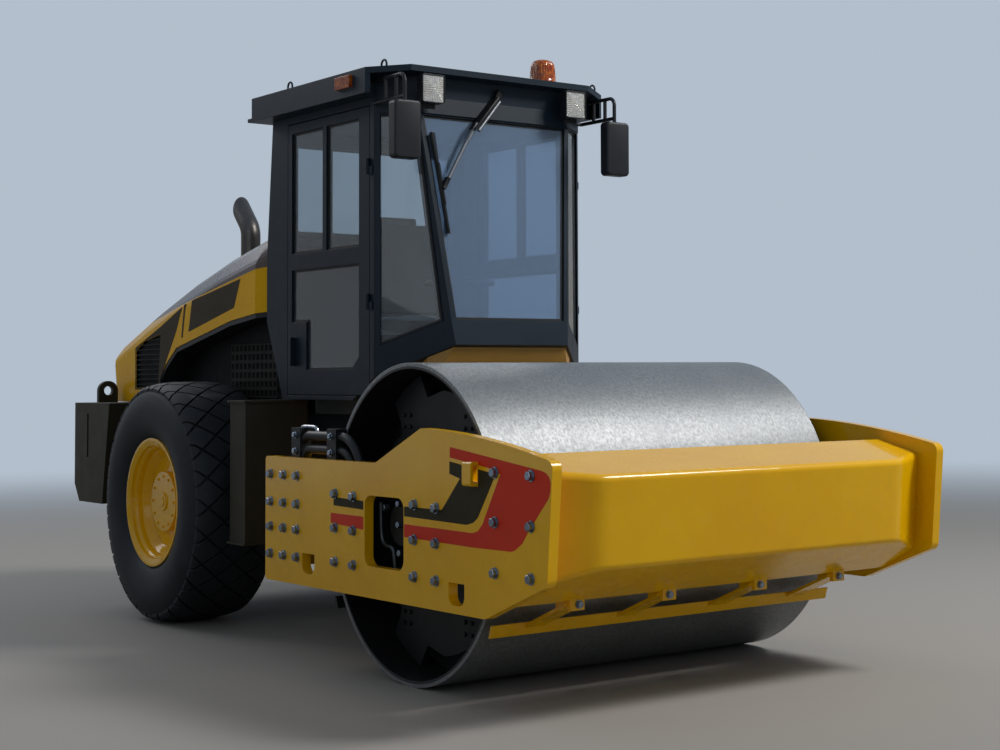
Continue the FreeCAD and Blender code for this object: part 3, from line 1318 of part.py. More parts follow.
hood_low = size.weight_high_z.value
hood_end = size.hood_rear_high.value
wall = size.hood_wall.value
outer = hood_form(0, size.hood_front.value, hood_end + 5, hood_low).cut(rear_wedge(0))
inner = hood_form(wall, size.hood_front.value - 1, hood_end, hood_low - 1).cut(rear_wedge(wall))
hood_shape = outer.cut(inner)
seat_gap = size.hood_seat_gap.value
floor_points = [Vector(0, y.value, z.value + seat_gap) for y, z in arch_line]
floor_points.insert(0, floor_points[0] - Vector(0, 5, 0))
floor_points.append(Vector(0, hood_end + 5, hood_low + 3 + seat_gap))
floor_points.append(Vector(0, hood_end + 5, hood_low - 50))
floor_points.append(Vector(0, size.hood_front.value - 5, hood_low - 50))
floor_face = Part.Face(Part.makePolygon(floor_points + floor_points[:1]))
floor_cut = floor_face.extrude(Vector(2 * size.hood_half.value + 20, 0, 0))
floor_cut.translate(Vector(-size.hood_half.value - 10, 0, 0))
hood_shape = hood_shape.cut(floor_cut)
hood_top_at_pipe = shoulder(size.pipe_y.value) + rise(size.pipe_y.value)
pipe_hole = Part.makeCylinder(size.pipe_radius.value + 6, hood_top_at_pipe - hood_low + 50,
                              Vector(-size.pipe_x.value, size.pipe_y.value, hood_low))
hood_shape = hood_shape.cut(pipe_hole)
hood_solid = doc.addObject("Part::Feature", "HoodForm")
hood_solid.Shape = hood_shape.removeSplitter()

# Grilles of the hood: a slatted panel in each side and one across the rear
grille_outline = [
    (size.grille_front, size.grille_low_z),
    (size.grille_rear, size.grille_low_z),
    (size.grille_rear, size.grille_rear_z),
    (size.grille_bend, size.grille_bend_z),
    (size.grille_high_front, size.grille_high_z),
]
wall_span = (-size.hood_half, -size.hood_half + size.hood_wall)
grille_way = prism("X", grille_outline, (-size.hood_half - 5, -size.hood_half + size.hood_wall + 5))
backing = prism("X", grille_outline, (-size.hood_half + size.hood_wall - 6, -size.hood_half + size.hood_wall))
slats = []
for step in range(10):
    z = size.grille_low_z + 18 + size.grille_pitch * step
    slats.append(block((-size.hood_half + 3, -size.hood_half + size.hood_wall - 6),
                       (size.grille_high_front, size.grille_rear), (z, z + size.grille_slat)))
side_slats = common(fuse(*slats), prism("X", grille_outline, wall_span))
arch_space = doc.addObject("Part::Feature", "HoodFloor")
arch_space.Shape = floor_cut
side_grille = cut(fuse(backing, side_slats), arch_space)
rear_way = block((-size.rear_grille_half, size.rear_grille_half),
                 (size.hood_rear_low - 60, size.hood_rear_high + 10),
                 (size.rear_grille_low_z, size.rear_grille_high_z))
rear_slope = (size.hood_rear_high - size.hood_rear_low) / (size.hood_rear_high_z - size.weight_high_z)
rear_slats = []
for step in range(7):
    z = size.rear_grille_low_z + 14 + size.grille_pitch * step
    face_y = size.hood_rear_low + rear_slope * (z - size.weight_high_z)
    rear_slats.append(block((-size.rear_grille_half, size.rear_grille_half), (face_y - 20, face_y - 3),
                            (z, z + size.grille_slat)))
node("hood", fuse(cut(hood_solid, grille_way, mirrored(grille_way), rear_way), *hood_knuckles))
node("hood_grille", side_grille, mirrored(side_grille), *rear_slats)

# Exhaust: a pipe that stands in the hood's collar, bends towards the rear and ends in an upright mouth
slant = math.sqrt(0.5)
bend = size.pipe_bend.value
mouth_y = size.pipe_y.value + size.pipe_reach.value
pipe_spots = [
    Vector(-size.pipe_x.value, size.pipe_y.value, hood_top_at_pipe - 60),
    Vector(-size.pipe_x.value, size.pipe_y.value, size.pipe_bend_z.value),
    Vector(-size.pipe_x.value, size.pipe_y.value + bend * (1 - math.cos(math.pi / 8)),
           size.pipe_bend_z.value + bend * math.sin(math.pi / 8)),
    Vector(-size.pipe_x.value, size.pipe_y.value + bend * (1 - slant), size.pipe_bend_z.value + bend * slant),
]
run = mouth_y + size.pipe_radius.value * 2 - pipe_spots[3].y
pipe_spots.append(pipe_spots[3] + Vector(0, run, run))
path = Part.Wire([
    Part.LineSegment(pipe_spots[0], pipe_spots[1]).toShape(),
    Part.Arc(pipe_spots[1], pipe_spots[2], pipe_spots[3]).toShape(),
    Part.LineSegment(pipe_spots[3], pipe_spots[4]).toShape(),
])


def swept(radius):
    circle = Part.Wire(Part.makeCircle(radius, path.Vertexes[0].Point, Vector(0, 0, 1)))
    return path.makePipeShell([circle], True, False)


pipe_shape = swept(size.pipe_radius.value).cut(swept(size.pipe_radius.value - size.pipe_wall.value))
beyond_mouth = Part.makeBox(size.pipe_radius.value * 4, run * 2, run * 4,
                            Vector(-size.pipe_x.value - size.pipe_radius.value * 2, mouth_y,
                                   size.pipe_bend_z.value - run))
pipe_shape = pipe_shape.cut(beyond_mouth)
collar = Part.makeCylinder(size.pipe_radius.value + 22, 60,
                           Vector(-size.pipe_x.value, size.pipe_y.value, hood_top_at_pipe - 40))
collar = collar.cut(Part.makeCylinder(size.pipe_radius.value - 1, 60,
                                      Vector(-size.pipe_x.value, size.pipe_y.value, hood_top_at_pipe - 40)))
collar = collar.cut(hood_shape)
pipe_solid = doc.addObject("Part::Feature", "ExhaustPipe")
pipe_solid.Shape = pipe_shape.fuse(collar).removeSplitter()
node("exhaust_pipe", pipe_solid)


# Cab: one form, set in by a given depth, gives the posts, the hollow and the glass
wedge_low = size.cab_floor_z - 10
wedge_high = size.cab_top_z + 10


def cab_form(inset):
    """The cab's outer form, its faces set in by a depth."""
    inset = term(inset)
    side_outline = [
        (size.cab_chin + inset, size.cab_chin_z + inset),
        (size.cab_slope_y, size.cab_floor_z + inset),
        (size.cab_rear_low - inset, size.cab_floor_z + inset),
        (size.cab_rear_mid - inset, size.cab_rear_step_z),
        (size.cab_rear_mid - inset, size.cab_rear_mid_z),
        (size.cab_rear_top - inset, size.cab_top_z - inset),
        (size.cab_brow + 12 + inset, size.cab_top_z - inset),
        (size.cab_sill + inset, size.cab_sill_z),
    ]
    form = prism("X", side_outline, (-size.cab_half + inset, size.cab_half - inset))
    return cut(form, corner_wedge(-1, inset), corner_wedge(1, inset))


def corner_edge(z):
    """Half width of the cab's front face at a height, between its two angled corners."""
    rise_share = (z - wedge_low) / (wedge_high - wedge_low)
    return size.cab_half - size.corner_width_low + (size.corner_width_low - size.corner_width_high) * rise_share


def corner_wedge(side, inset):
    """What lies outside one angled corner, which twists a little from its foot to its top."""
    shift = inset * 1.36
    outlines = []
    for width, depth in ((size.corner_width_low, size.corner_depth_low),
                         (size.corner_width_high, size.corner_depth_high)):
        slope = depth / width
        far_x = size.cab_half + 20
        near_x = size.cab_half - width - 100
        outlines.append([
            (side * far_x, size.cab_corner + shift + 20 * slope),
            (side * near_x, size.cab_corner + shift - (width + 100) * slope),
            (side * far_x, size.cab_corner + shift - (width + 100) * slope),
        ])
    return ruled_wedge(outlines[0], wedge_low, outlines[1], wedge_high)


cab_outer = cab_form(0)
cab_inner = cab_form(size.cab_wall)
far = size.cab_half + 100
door_outline = [
    (size.door_front, size.door_low_z),
    (size.door_rear, size.door_low_z),
    (size.door_rear, size.door_high_z),
    (size.door_front, size.door_high_z),
]
gap = size.door_gap
door_ways = []
for side in (-1, 1):
    door_ways.append(block(sorted_span(side * (size.cab_half - size.cab_wall - 1), side * far),
                           (size.door_front - gap, size.door_rear + gap),
                           (size.door_low_z - gap, size.door_high_z + gap)))
screen_low_z = size.cab_sill_z + 2
screen_high_z = size.cab_brow_z - 6
screen_half_low = corner_edge(screen_low_z) - size.screen_post_low
screen_half_high = corner_edge(screen_high_z) - size.screen_post_high
screen_outline = [
    (-screen_half_low, screen_low_z),
    (screen_half_low, screen_low_z),
    (screen_half_high, screen_high_z),
    (-screen_half_high, screen_high_z),
]
screen_way = prism("Y", screen_outline, (size.cab_chin - 50, size.cab_brow + 120))


def corner_way(side):
    """The opening of one angled front corner pane, its inner side along the windscreen's post."""
    outer_side = side * (size.cab_half - 26)
    return prism("Y", [
        (outer_side, screen_low_z - size.corner_sill_drop - 8),
        (outer_side, screen_high_z + 2),
        (side * (corner_edge(screen_high_z) + size.corner_post_high), screen_high_z + 2),
        (side * (corner_edge(screen_low_z) + size.corner_post_low), screen_low_z - 8),
    ], (size.cab_chin - 50, size.door_front - gap - 1))


rear_pane_way = block((-size.cab_half + 150, size.cab_half - 150),
                      (size.cab_rear_low, size.cab_rear_mid + 50),
                      (size.cab_rear_mid_z + 40, size.cab_brow_z - 40))
corner_ways = [corner_way(-1), corner_way(1)]
cab_frame = cut(cab_outer, cab_inner, *door_ways, screen_way, rear_pane_way, *corner_ways)
pane_layer = cut(cab_form(size.glass_inset), cab_form(size.glass_inset + size.glass))
node("windscreen", common(pane_layer, screen_way))
node("cab_panes", common(pane_layer, fuse(*corner_ways)), common(pane_layer, rear_pane_way))

# Doors: a plate with three panes cut out; the panes are a node of their own
door_span = (-size.cab_half, -size.cab_half + size.door_frame)
upper_low, upper_high = size.pane_belt_z, size.pane_high_z


def pane_blocks(span):
    """The two upper panes and the lower one with its notch for the latch."""
    panes = [
        block(span, (size.pane_front, size.pane_mid - size.pane_bar / 2), (upper_low, upper_high)),
        block(span, (size.pane_mid + size.pane_bar / 2, size.pane_rear), (upper_low, upper_high)),
        prism("X", [
            (size.pane_front, size.pane_low_z + 70),
            (size.pane_front + 80, size.pane_low_z),
            (size.latch_y, size.pane_low_z),
            (size.latch_y, size.latch_z),
            (size.pane_rear, size.latch_z),
            (size.pane_rear, size.pane_waist_z),
            (size.pane_front, size.pane_waist_z),
        ], span),
    ]
    return panes


door_blank = prism("X", door_outline, door_span)
door_right = cut(door_blank, *pane_blocks(door_span))
glass_span = (-size.cab_half + size.glass_inset, -size.cab_half + size.glass_inset + size.glass)
door_panes = pane_blocks(glass_span)
handle = block((-size.cab_half - 38, -size.cab_half), (size.door_rear - 110, size.door_rear - 80),
               (size.latch_z - 260, size.latch_z - 90))
door_glass = fuse(*door_panes)
node("door_glass_right", door_glass)
node("door_glass_left", mirrored(door_glass))

# Hinges of the doors: a pin with one knuckle on the front post and one on the door
hinge_y = size.door_front - gap / 2
hinge_x = -size.cab_half - size.hinge_offset
knuckle = size.hinge_length / 2
post_side = []
door_side = []
for height in (size.pane_low_z + 330, size.pane_high_z - 330):
    middle = height + knuckle
    top = height + size.hinge_length
    leaf = (hinge_x, -size.cab_half)
    post_side.append(rod("Z", size.hinge_radius, (hinge_x, hinge_y), (height, middle - 0.5)))
    post_side.append(rod("Z", size.hinge_pin_radius, (hinge_x, hinge_y), (height, top)))
    post_side.append(block(leaf, (hinge_y - 40, hinge_y), (height, middle - 0.5)))
    sleeve = fuse(rod("Z", size.hinge_radius, (hinge_x, hinge_y), (middle + 0.5, top)),
                  block(leaf, (hinge_y, hinge_y + 50), (middle + 0.5, top)))
    door_side.append(cut(sleeve, rod("Z", size.hinge_pin_radius + size.running_fit, (hinge_x, hinge_y),
                                     (middle + 0.5, top))))
door_whole = fuse(door_right, handle, *door_side)
node("door_right", door_whole)
node("door_left", mirrored(door_whole))
post_hinges = fuse(*post_side)
node("cab_frame", fuse(cab_frame, post_hinges, mirrored(post_hinges)))

# Roof: a slab whose front is a thin visor with cut corners; the fascia under it stays flush with the cab
roof_outline = [
    (-size.roof_front_half, size.roof_front),
    (size.roof_front_half, size.roof_front),
    (size.roof_half, size.roof_corner),
    (size.roof_half, size.roof_rear),
    (-size.roof_half, size.roof_rear),
    (-size.roof_half, size.roof_corner),
]
visor_section = [
    (size.roof_front, size.roof_front_z - size.roof_visor),
    (size.roof_corner, size.roof_high_z - size.roof_visor),
    (size.roof_rear, size.roof_high_z - size.roof_visor),
    (size.roof_rear, size.roof_high_z),
    (size.roof_corner, size.roof_high_z),
    (size.roof_front, size.roof_front_z),
]
fascia_half = size.cab_half - size.corner_width_high
fascia_y = size.cab_corner - size.corner_depth_high
skirt_inner = size.roof_half - size.roof_skirt
fascia_outline = []
for side in (-1, 1):
    half_outline = [
        (side * fascia_half, fascia_y),
        (side * size.cab_half, size.cab_corner),
        (side * skirt_inner, size.cab_corner),
        (side * skirt_inner, size.roof_corner - 15),
        (side * size.roof_half, size.roof_corner),
        (side * size.roof_half, size.roof_rear),
    ]
    fascia_outline += half_outline[::-1] if side < 0 else half_outline
visor = common(prism("Z", roof_outline, (size.cab_top_z, size.roof_front_z)),
               prism("X", visor_section, (-size.roof_half, size.roof_half)))
roof_body = prism("Z", fascia_outline, (size.cab_top_z, size.roof_high_z - 10))
roof_lip = block((-size.roof_half, size.roof_half), (size.roof_rear, size.roof_rear + size.roof_lip),
                 (size.cab_top_z, size.cab_top_z + 22))
brow_form = cab_form(-size.brow_depth)
brow = common(cut(brow_form, cab_outer), block((-size.roof_half, size.roof_half), (size.cab_chin, size.cab_corner - 20),
                                               (size.brow_low_z, size.cab_top_z)))
roof_whole = fuse(visor, roof_body, roof_lip, brow)
rings = []
for side in (-1, 1):
    for y, inset in ((size.ring_front, size.ring_front_inset), (size.ring_rear, size.ring_rear_inset)):
        x = side * (size.roof_half - inset)
        ring_z = size.roof_high_z + size.ring_radius * 0.6
        rings.append(cut(ring("X", size.ring_radius, size.ring_bar, x, y, ring_z), roof_whole))
node("cab_roof", roof_whole, *rings)
lamps = []
lamp_front = size.roof_front - size.lamp_depth
for side in (-1, 1):
    x = side * size.lamp_x
    housing = block((x - size.lamp_half, x + size.lamp_half), (lamp_front, lamp_front + size.lamp_housing),
                    (size.lamp_z - size.lamp_half_height, size.lamp_z + size.lamp_half_height))
    housing = rounded(housing, size.lamp_corner, lambda edge: along(edge, "Y"))
    stay = block((x - 20, x + 20), (lamp_front + size.lamp_housing, fascia_y + 60), (size.lamp_z - 15, size.lamp_z + 15))
    lamps.append(fuse(housing, cut(stay, roof_whole)))
node("work_lamps", *lamps)
beacon_low = size.roof_high_z + size.beacon_foot
beacon_foot = cut(rod("Z", size.beacon_radius + 8, (size.beacon_x, size.beacon_y), (size.roof_high_z - 20, beacon_low)),
                  roof_whole)
beacon_dome = doc.addObject("Part::Cone", "Dome")
bind(beacon_dome, "Radius1", size.beacon_radius)
bind(beacon_dome, "Radius2", size.beacon_radius - size.beacon_taper)
bind(beacon_dome, "Height", size.beacon_top_z - beacon_low)
place(beacon_dome, Rotation(), x=size.beacon_x, y=size.beacon_y, z=beacon_low)
beacon_top = rounded(beacon_dome, size.beacon_crown,
                     lambda edge: len(edge.Vertexes) == 1 and edge.CenterOfMass.z > size.beacon_top_z.value - 1)
markers = []
for side in (-1, 1):
    markers.append(block(sorted_span(side * size.roof_half, side * (size.roof_half + size.marker_depth)),
                         (size.marker_y - size.marker_half, size.marker_y + size.marker_half),
                         (size.marker_z - size.marker_half_height, size.marker_z + size.marker_half_height)))
node("amber_lamps", fuse(beacon_foot, beacon_top), *markers)


# Mirrors: a rounded shell under a ladder-shaped bracket of round bar
def mirror(side):
    x = side * size.mirror_x
    shell = block((x - size.mirror_half_width, x + size.mirror_half_width),
                  (size.mirror_y - size.mirror_depth / 2, size.mirror_y + size.mirror_depth / 2),
                  (size.mirror_z - size.mirror_half_height, size.mirror_z + size.mirror_half_height))
    shell = rounded(shell, size.mirror_corner, lambda edge: along(edge, "Y"))
    bar = size.mirror_arm
    high, low = size.mirror_loop_high, size.mirror_loop_low
    turn_y = size.mirror_y + size.mirror_loop_corner
    turn_z = high - size.mirror_loop_corner
    elbow = common(ring("X", size.mirror_loop_corner, bar, x, turn_y, turn_z),
                   block((x - 2 * bar, x + 2 * bar), (size.mirror_y - 2 * bar, turn_y), (turn_z, high + 2 * bar)))
    parts = [shell, elbow,
             rod("Z", bar, (x, size.mirror_y), (size.mirror_z + size.mirror_half_height - 10, turn_z)),
             rod("Y", bar, (x, high), (turn_y, size.cab_corner)),
             rod("Y", bar, (x, low), (size.mirror_y, size.mirror_foot_y)),
             ball(bar, x, size.mirror_foot_y, low),
             rod_towards("X", bar, (size.mirror_foot_y, low), x, side * (size.cab_half - 60))]
    for y in (size.mirror_rung, size.mirror_rung_rear):
        parts.append(rod("Z", bar, (x, y), (low, high)))
    return cut(fuse(*parts), roof_whole, brow_form)


node("mirrors", mirror(-1), mirror(1))

# Cowl under the cab: follows the rising underside, and stands on the rails
under_slope = (size.cab_chin_z - size.cab_floor_z) / (size.cab_slope_y - size.cab_chin)
base_outline = [
    (size.cab_chin + 25, size.cab_chin_z - under_slope * 25),
    (size.cab_slope_y, size.cab_floor_z),
    (size.cab_rear_low, size.cab_floor_z),
    (size.cab_rear_low, size.rail_high_z),
    (size.rail_front, size.rail_high_z),
    (size.cab_slope_y, size.cab_floor_z - size.base_drop),
    (size.cab_chin + 60, size.cab_chin_z - size.base_drop),
]
base_front = size.cab_chin + 25
base_plan = [
    (-size.base_front_half, base_front),
    (size.base_front_half, base_front),
    (size.base_half, base_front + size.base_half - size.base_front_half),
    (size.base_half, size.cab_rear_low),
    (-size.base_half, size.cab_rear_low),
    (-size.base_half, base_front + size.base_half - size.base_front_half),
]
node("cab_base", common(prism("X", base_outline, (-size.base_half, size.base_half)),
                        prism("Z", base_plan, (size.rail_high_z, size.cab_chin_z))))

# Operator's place: seat, and a column with the steering wheel
floor_top = size.cab_floor_z + size.cab_wall
cushion_low = size.seat_top_z - size.seat_cushion
back_front = size.seat_y + size.seat_back_y
seat_box = fuse(
    block((-size.seat_foot_half, size.seat_foot_half),
          (size.seat_y - size.seat_foot_half, size.seat_y + size.seat_foot_half), (floor_top, cushion_low)),
    block((-size.seat_half, size.seat_half),
          (size.seat_y - size.seat_half_depth, size.seat_y + size.seat_half_depth), (cushion_low, size.seat_top_z)),
    prism("X", [
        (back_front, size.seat_top_z),
        (back_front + size.seat_back_foot, size.seat_top_z),
        (back_front + size.seat_back_lean + size.seat_back_head, size.seat_back_z),
        (back_front + size.seat_back_lean, size.seat_back_z),
    ], (-size.seat_half + 20, size.seat_half - 20)))
node("seat", seat_box)
column = common(rod("Z", term(38), (0, size.wheel_y), (floor_top, size.wheel_z)), cab_inner)
wheel_ring = ring("Z", size.wheel_rim_radius, size.wheel_rim_bar, 0, size.wheel_y, size.wheel_z)
spokes = [block((-size.wheel_rim_radius, size.wheel_rim_radius), (size.wheel_y - 12, size.wheel_y + 12),
                (size.wheel_z - 8, size.wheel_z + 8))]
node("steering_column", fuse(column, wheel_ring, *spokes))

# Drum hoses: two hoses from the rear beam over the right-hand arm, bent down to the front spacer
hose_x = -plate_inner + size.hose_radius + 8


def hose(step):
    """One hose: up from the rear beam, along the arm and down to the spacer behind the side plate."""
    lift = size.hose_pitch.value * step
    x = hose_x.value
    z = size.hose_z.value + lift
    rear_y = size.hose_rear.value + lift
    rear_bend = size.hose_rear_bend.value + lift
    foot_y = size.hose_foot.value - lift
    bend = size.hose_bend.value + lift
    slant = math.sqrt(0.5)
    spots = [
        Vector(x, rear_y, size.rear_beam_high_z.value),
        Vector(x, rear_y, z - rear_bend),
        Vector(x, rear_y - rear_bend * (1 - slant), z - rear_bend * (1 - slant)),
        Vector(x, rear_y - rear_bend, z),
        Vector(x, foot_y + bend, z),
        Vector(x, foot_y + bend * (1 - slant), z - bend * (1 - slant)),
        Vector(x, foot_y, z - bend),
        Vector(x, foot_y, size.spacer_high_z.value),
    ]
    line = Part.Wire([
        Part.LineSegment(spots[0], spots[1]).toShape(),
        Part.Arc(spots[1], spots[2], spots[3]).toShape(),
        Part.LineSegment(spots[3], spots[4]).toShape(),
        Part.Arc(spots[4], spots[5], spots[6]).toShape(),
        Part.LineSegment(spots[6], spots[7]).toShape(),
    ])
    circle = Part.Wire(Part.makeCircle(size.hose_radius.value, spots[0], Vector(0, 0, 1)))
    return line.makePipeShell([circle], True, False)


hose_solid = doc.addObject("Part::Feature", "Hoses")
hose_solid.Shape = Part.makeCompound([hose(0), hose(1)])
clamps = []
for y in (size.hose_clamp_rear, size.hose_clamp_front):
    clamps.append(block((-plate_inner, hose_x + size.hose_radius + 8),
                        (y - size.hose_clamp_half, y + size.hose_clamp_half),
                        (size.rear_beam_high_z, size.hose_clamp_high_z)))
node("drum_hoses", hose_solid, cut(fuse(*clamps), hose_solid))


# Steering cylinders: barrels pinned to the rear chassis, rods to the front frame
def steering_cylinder(side):
    """Barrel and rod of one cylinder, on the line between its two pins."""
    rear_pin = Vector(side * size.cylinder_rear_x.value, size.cylinder_rear.value, size.cylinder_z.value)
    front_pin = Vector(side * size.cylinder_x.value, size.cylinder_front.value, size.cylinder_z.value)
    line = front_pin - rear_pin
    line.normalize()
    half = Vector(0, 0, size.eye_half.value)
    outer_radius = size.eye_radius_outer.value
    pin_radius = size.eye_pin_radius.value
    start = rear_pin + line * size.barrel_neck.value
    shell = Part.makeCylinder(size.barrel_radius.value, size.barrel_length.value, start, line)
    bore = Part.makeCylinder(size.rod_radius.value + size.rod_fit.value, size.barrel_length.value - 30,
                             start + line * 30, line)
    neck = Part.makeCylinder(size.eye_pin_radius.value, size.barrel_neck.value - 25, rear_pin + line * 30, line)
    rear_eye = Part.makeCylinder(outer_radius, 2 * half.z, rear_pin - half)
    rear_bore = Part.makeCylinder(pin_radius + size.running_fit.value, 2 * half.z, rear_pin - half)
    barrel = shell.cut(bore).fuse(neck).fuse(rear_eye).cut(rear_bore).removeSplitter()
    bar = Part.makeCylinder(size.rod_radius.value, size.rod_length.value,
                            front_pin - line * size.rod_length.value, line)
    front_eye = Part.makeCylinder(outer_radius, 2 * half.z, front_pin - half)
    front_bore = Part.makeCylinder(pin_radius, 2 * half.z, front_pin - half)
    return barrel, bar.fuse(front_eye).cut(front_bore).removeSplitter()


for side, word in ((-1, "right"), (1, "left")):
    for shape, label in zip(steering_cylinder(side), ("steer_barrel_", "steer_rod_")):
        solid = doc.addObject("Part::Feature", "SteeringCylinder")
        solid.Shape = shape
        node(label + word, solid)

# The origin lies on the ground under the middle of the machine
middle_shift = (size.plate_front_top - size.hood_rear_high) / 2
for part in nodes.values():
    bind(part, "Placement.Base.y", middle_shift)
doc.recompute()

faults = [thing.Name for thing in doc.Objects if "Invalid" in thing.State or "Error" in thing.State]
if faults:
    raise RuntimeError("these objects failed: %s" % ", ".join(faults))
os.makedirs("parts", exist_ok=True)
for label, part in nodes.items():
    if part.Shape.isNull() or not part.Shape.isValid():
        raise RuntimeError("%s has no valid shape" % label)
    part.Shape.exportStep("parts/%s.step" % label)
    print("%-20s solids %2d volume %8.4f m3" % (label, len(part.Shape.Solids), part.Shape.Volume / 1e9))
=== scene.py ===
import math

import bmesh
import bpy
from mathutils import Matrix, Vector


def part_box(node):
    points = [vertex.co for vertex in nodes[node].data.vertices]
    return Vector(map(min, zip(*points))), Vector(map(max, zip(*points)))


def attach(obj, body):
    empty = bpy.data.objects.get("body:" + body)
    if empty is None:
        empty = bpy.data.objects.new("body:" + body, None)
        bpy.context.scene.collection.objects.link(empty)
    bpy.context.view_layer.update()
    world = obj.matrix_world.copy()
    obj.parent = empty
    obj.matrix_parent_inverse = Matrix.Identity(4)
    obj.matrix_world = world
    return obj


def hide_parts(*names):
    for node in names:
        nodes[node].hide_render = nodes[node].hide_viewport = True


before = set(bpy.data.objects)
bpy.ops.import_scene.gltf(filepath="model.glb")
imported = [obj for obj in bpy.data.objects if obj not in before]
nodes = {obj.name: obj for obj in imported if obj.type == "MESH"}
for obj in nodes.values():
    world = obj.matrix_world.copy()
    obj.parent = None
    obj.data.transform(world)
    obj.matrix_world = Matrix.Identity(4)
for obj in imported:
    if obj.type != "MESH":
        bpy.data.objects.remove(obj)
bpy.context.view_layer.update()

# Studio: a pale floor that runs to a pale surround, a soft key from the machine's front left
# and a weaker fill from its right, as on a showroom floor. The camera stands where the
# photographer stood: 2.5 degrees up, with the frame shifted as the cropped photograph is.
PHOTO_WIDTH = 1000
FOCAL_PIXELS = 1747.3
SENSOR = 36.0
SURROUND = "#B3BFCC"
LAMPS = (
    # name, place, width, height, power, colour
    ("key", (6.5, -7.5, 10.5), 3.6, 3.6, 1250, (1.0, 0.97, 0.92)),
    ("fill", (-10.0, -7.0, 5.0), 7.0, 5.0, 70, (0.92, 0.96, 1.0)),
    ("back", (-2.0, 10.0, 8.0), 8.0, 4.0, 330, (1.0, 0.96, 0.94)),
)


def linear(code):
    """A colour written as sRGB hex, as the linear numbers a shader takes."""
    parts = [int(code[at:at + 2], 16) / 255 for at in (1, 3, 5)]
    return tuple(v / 12.92 if v <= 0.04045 else ((v + 0.055) / 1.055) ** 2.4 for v in parts) + (1.0,)


def add(tree, kind, values=None, **settings):
    """Adds a node with its settings, and fills or links its sockets."""
    made = tree.nodes.new("ShaderNode" + kind)
    for name, value in settings.items():
        setattr(made, name, value)
    for name, value in (values or {}).items():
        if isinstance(value, bpy.types.NodeSocket):
            tree.links.new(value, made.inputs[name])
        else:
            made.inputs[name].default_value = value
    return made


camera = bpy.data.objects.new("camera", bpy.data.cameras.new("camera"))
bpy.context.scene.collection.objects.link(camera)
bpy.context.scene.camera = camera
bpy.context.scene.view_settings.view_transform = "Standard"
camera.data.sensor_width = SENSOR
camera.data.lens = FOCAL_PIXELS / PHOTO_WIDTH * SENSOR
camera.data.shift_x = -0.2073
camera.data.shift_y = -0.0779
camera.data.clip_end = 300
camera.location = (-5.53339, -9.24853, 1.52699)
camera.rotation_euler = (math.radians(92.5519), math.radians(0.4500), math.radians(-40.0451))

for name, place, width, height, power, colour in LAMPS:
    light = bpy.data.lights.new(name, "AREA")
    light.shape = "RECTANGLE"
    light.size = width
    light.size_y = height
    light.energy = power
    light.color = colour
    lamp = bpy.data.objects.new(name, light)
    lamp.location = place
    lamp.rotation_euler = (Vector((0, 0, 1.2)) - Vector(place)).to_track_quat("-Z", "Y").to_euler()
    bpy.context.scene.collection.objects.link(lamp)

world = bpy.data.worlds.new("surround")
bpy.context.scene.world = world
world.use_nodes = True
world.node_tree.nodes.clear()
sky = world.node_tree
path = add(sky, "LightPath")
direct = add(sky, "Math", {0: path.outputs["Is Camera Ray"], 1: path.outputs["Is Transmission Ray"]},
             operation="MAXIMUM")
ambient = add(sky, "Background", {"Color": linear("#C2C8CE"), "Strength": 0.27})
shown = add(sky, "Background", {"Color": linear(SURROUND), "Strength": 1.0})
# What paint and glass mirror: a warm grey bank at the horizon under a pale blue ceiling
height = add(sky, "SeparateXYZ", {0: add(sky, "TexCoord").outputs["Generated"]}).outputs["Z"]
rise = add(sky, "MapRange", {"Value": height, "From Min": 0.04, "From Max": 0.26}, interpolation_type="SMOOTHSTEP")
banked = add(sky, "Mix", {0: rise.outputs[0], 6: linear("#82796C"), 7: linear("#9FB0C2")}, data_type="RGBA")
mirrored = add(sky, "Background", {"Color": banked.outputs[2], "Strength": 1.0})
glossy = add(sky, "MixShader", {0: path.outputs["Is Glossy Ray"], 1: ambient.outputs[0], 2: mirrored.outputs[0]})
either = add(sky, "MixShader", {0: direct.outputs[0], 1: glossy.outputs[0], 2: shown.outputs[0]})
add(sky, "OutputWorld", {"Surface": either.outputs[0]})

floor_material = bpy.data.materials.new("pale_floor")
floor_material.use_nodes = True
floor_tree = floor_material.node_tree
floor_shader = floor_tree.nodes["Principled BSDF"]
floor_shader.inputs["Base Color"].default_value = linear("#9C9A97")
floor_shader.inputs["Roughness"].default_value = 0.75
floor_place = add(floor_tree, "TexCoord").outputs["Object"]
floor_reach = add(floor_tree, "VectorMath", {0: floor_place}, operation="LENGTH")
fade = add(floor_tree, "MapRange", {"Value": floor_reach.outputs["Value"], "From Min": 7.0, "From Max": 22.0},
           interpolation_type="SMOOTHSTEP")
floor_far = add(floor_tree, "Emission", {"Color": linear(SURROUND), "Strength": 1.0})
floor_mix = add(floor_tree, "MixShader", {0: fade.outputs[0], 1: floor_shader.outputs[0], 2: floor_far.outputs[0]})
floor_tree.links.new(floor_mix.outputs[0], floor_tree.nodes["Material Output"].inputs["Surface"])
floor_mesh = bpy.data.meshes.new("floor")
floor_shape = bmesh.new()
bmesh.ops.create_grid(floor_shape, x_segments=1, y_segments=1, size=120)
floor_shape.to_mesh(floor_mesh)
floor_shape.free()
floor_mesh.materials.append(floor_material)
floor = bpy.data.objects.new("floor", floor_mesh)
bpy.context.scene.collection.objects.link(floor)

# Side plates: 50 mm steel plate, flame cut, blasted and sprayed with a glossy yellow machine
# enamel. The enamel has the faint cloudiness and orange peel of thick spray, and the cut edges
# are a little rounded, so they catch the light.
axle_low, axle_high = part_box("drum_shell")
AXLE = Vector((0, (axle_low.y + axle_high.y) / 2, (axle_low.z + axle_high.z) / 2))
EDGE_ROUNDING = 0.003
PLATE_X = 1229


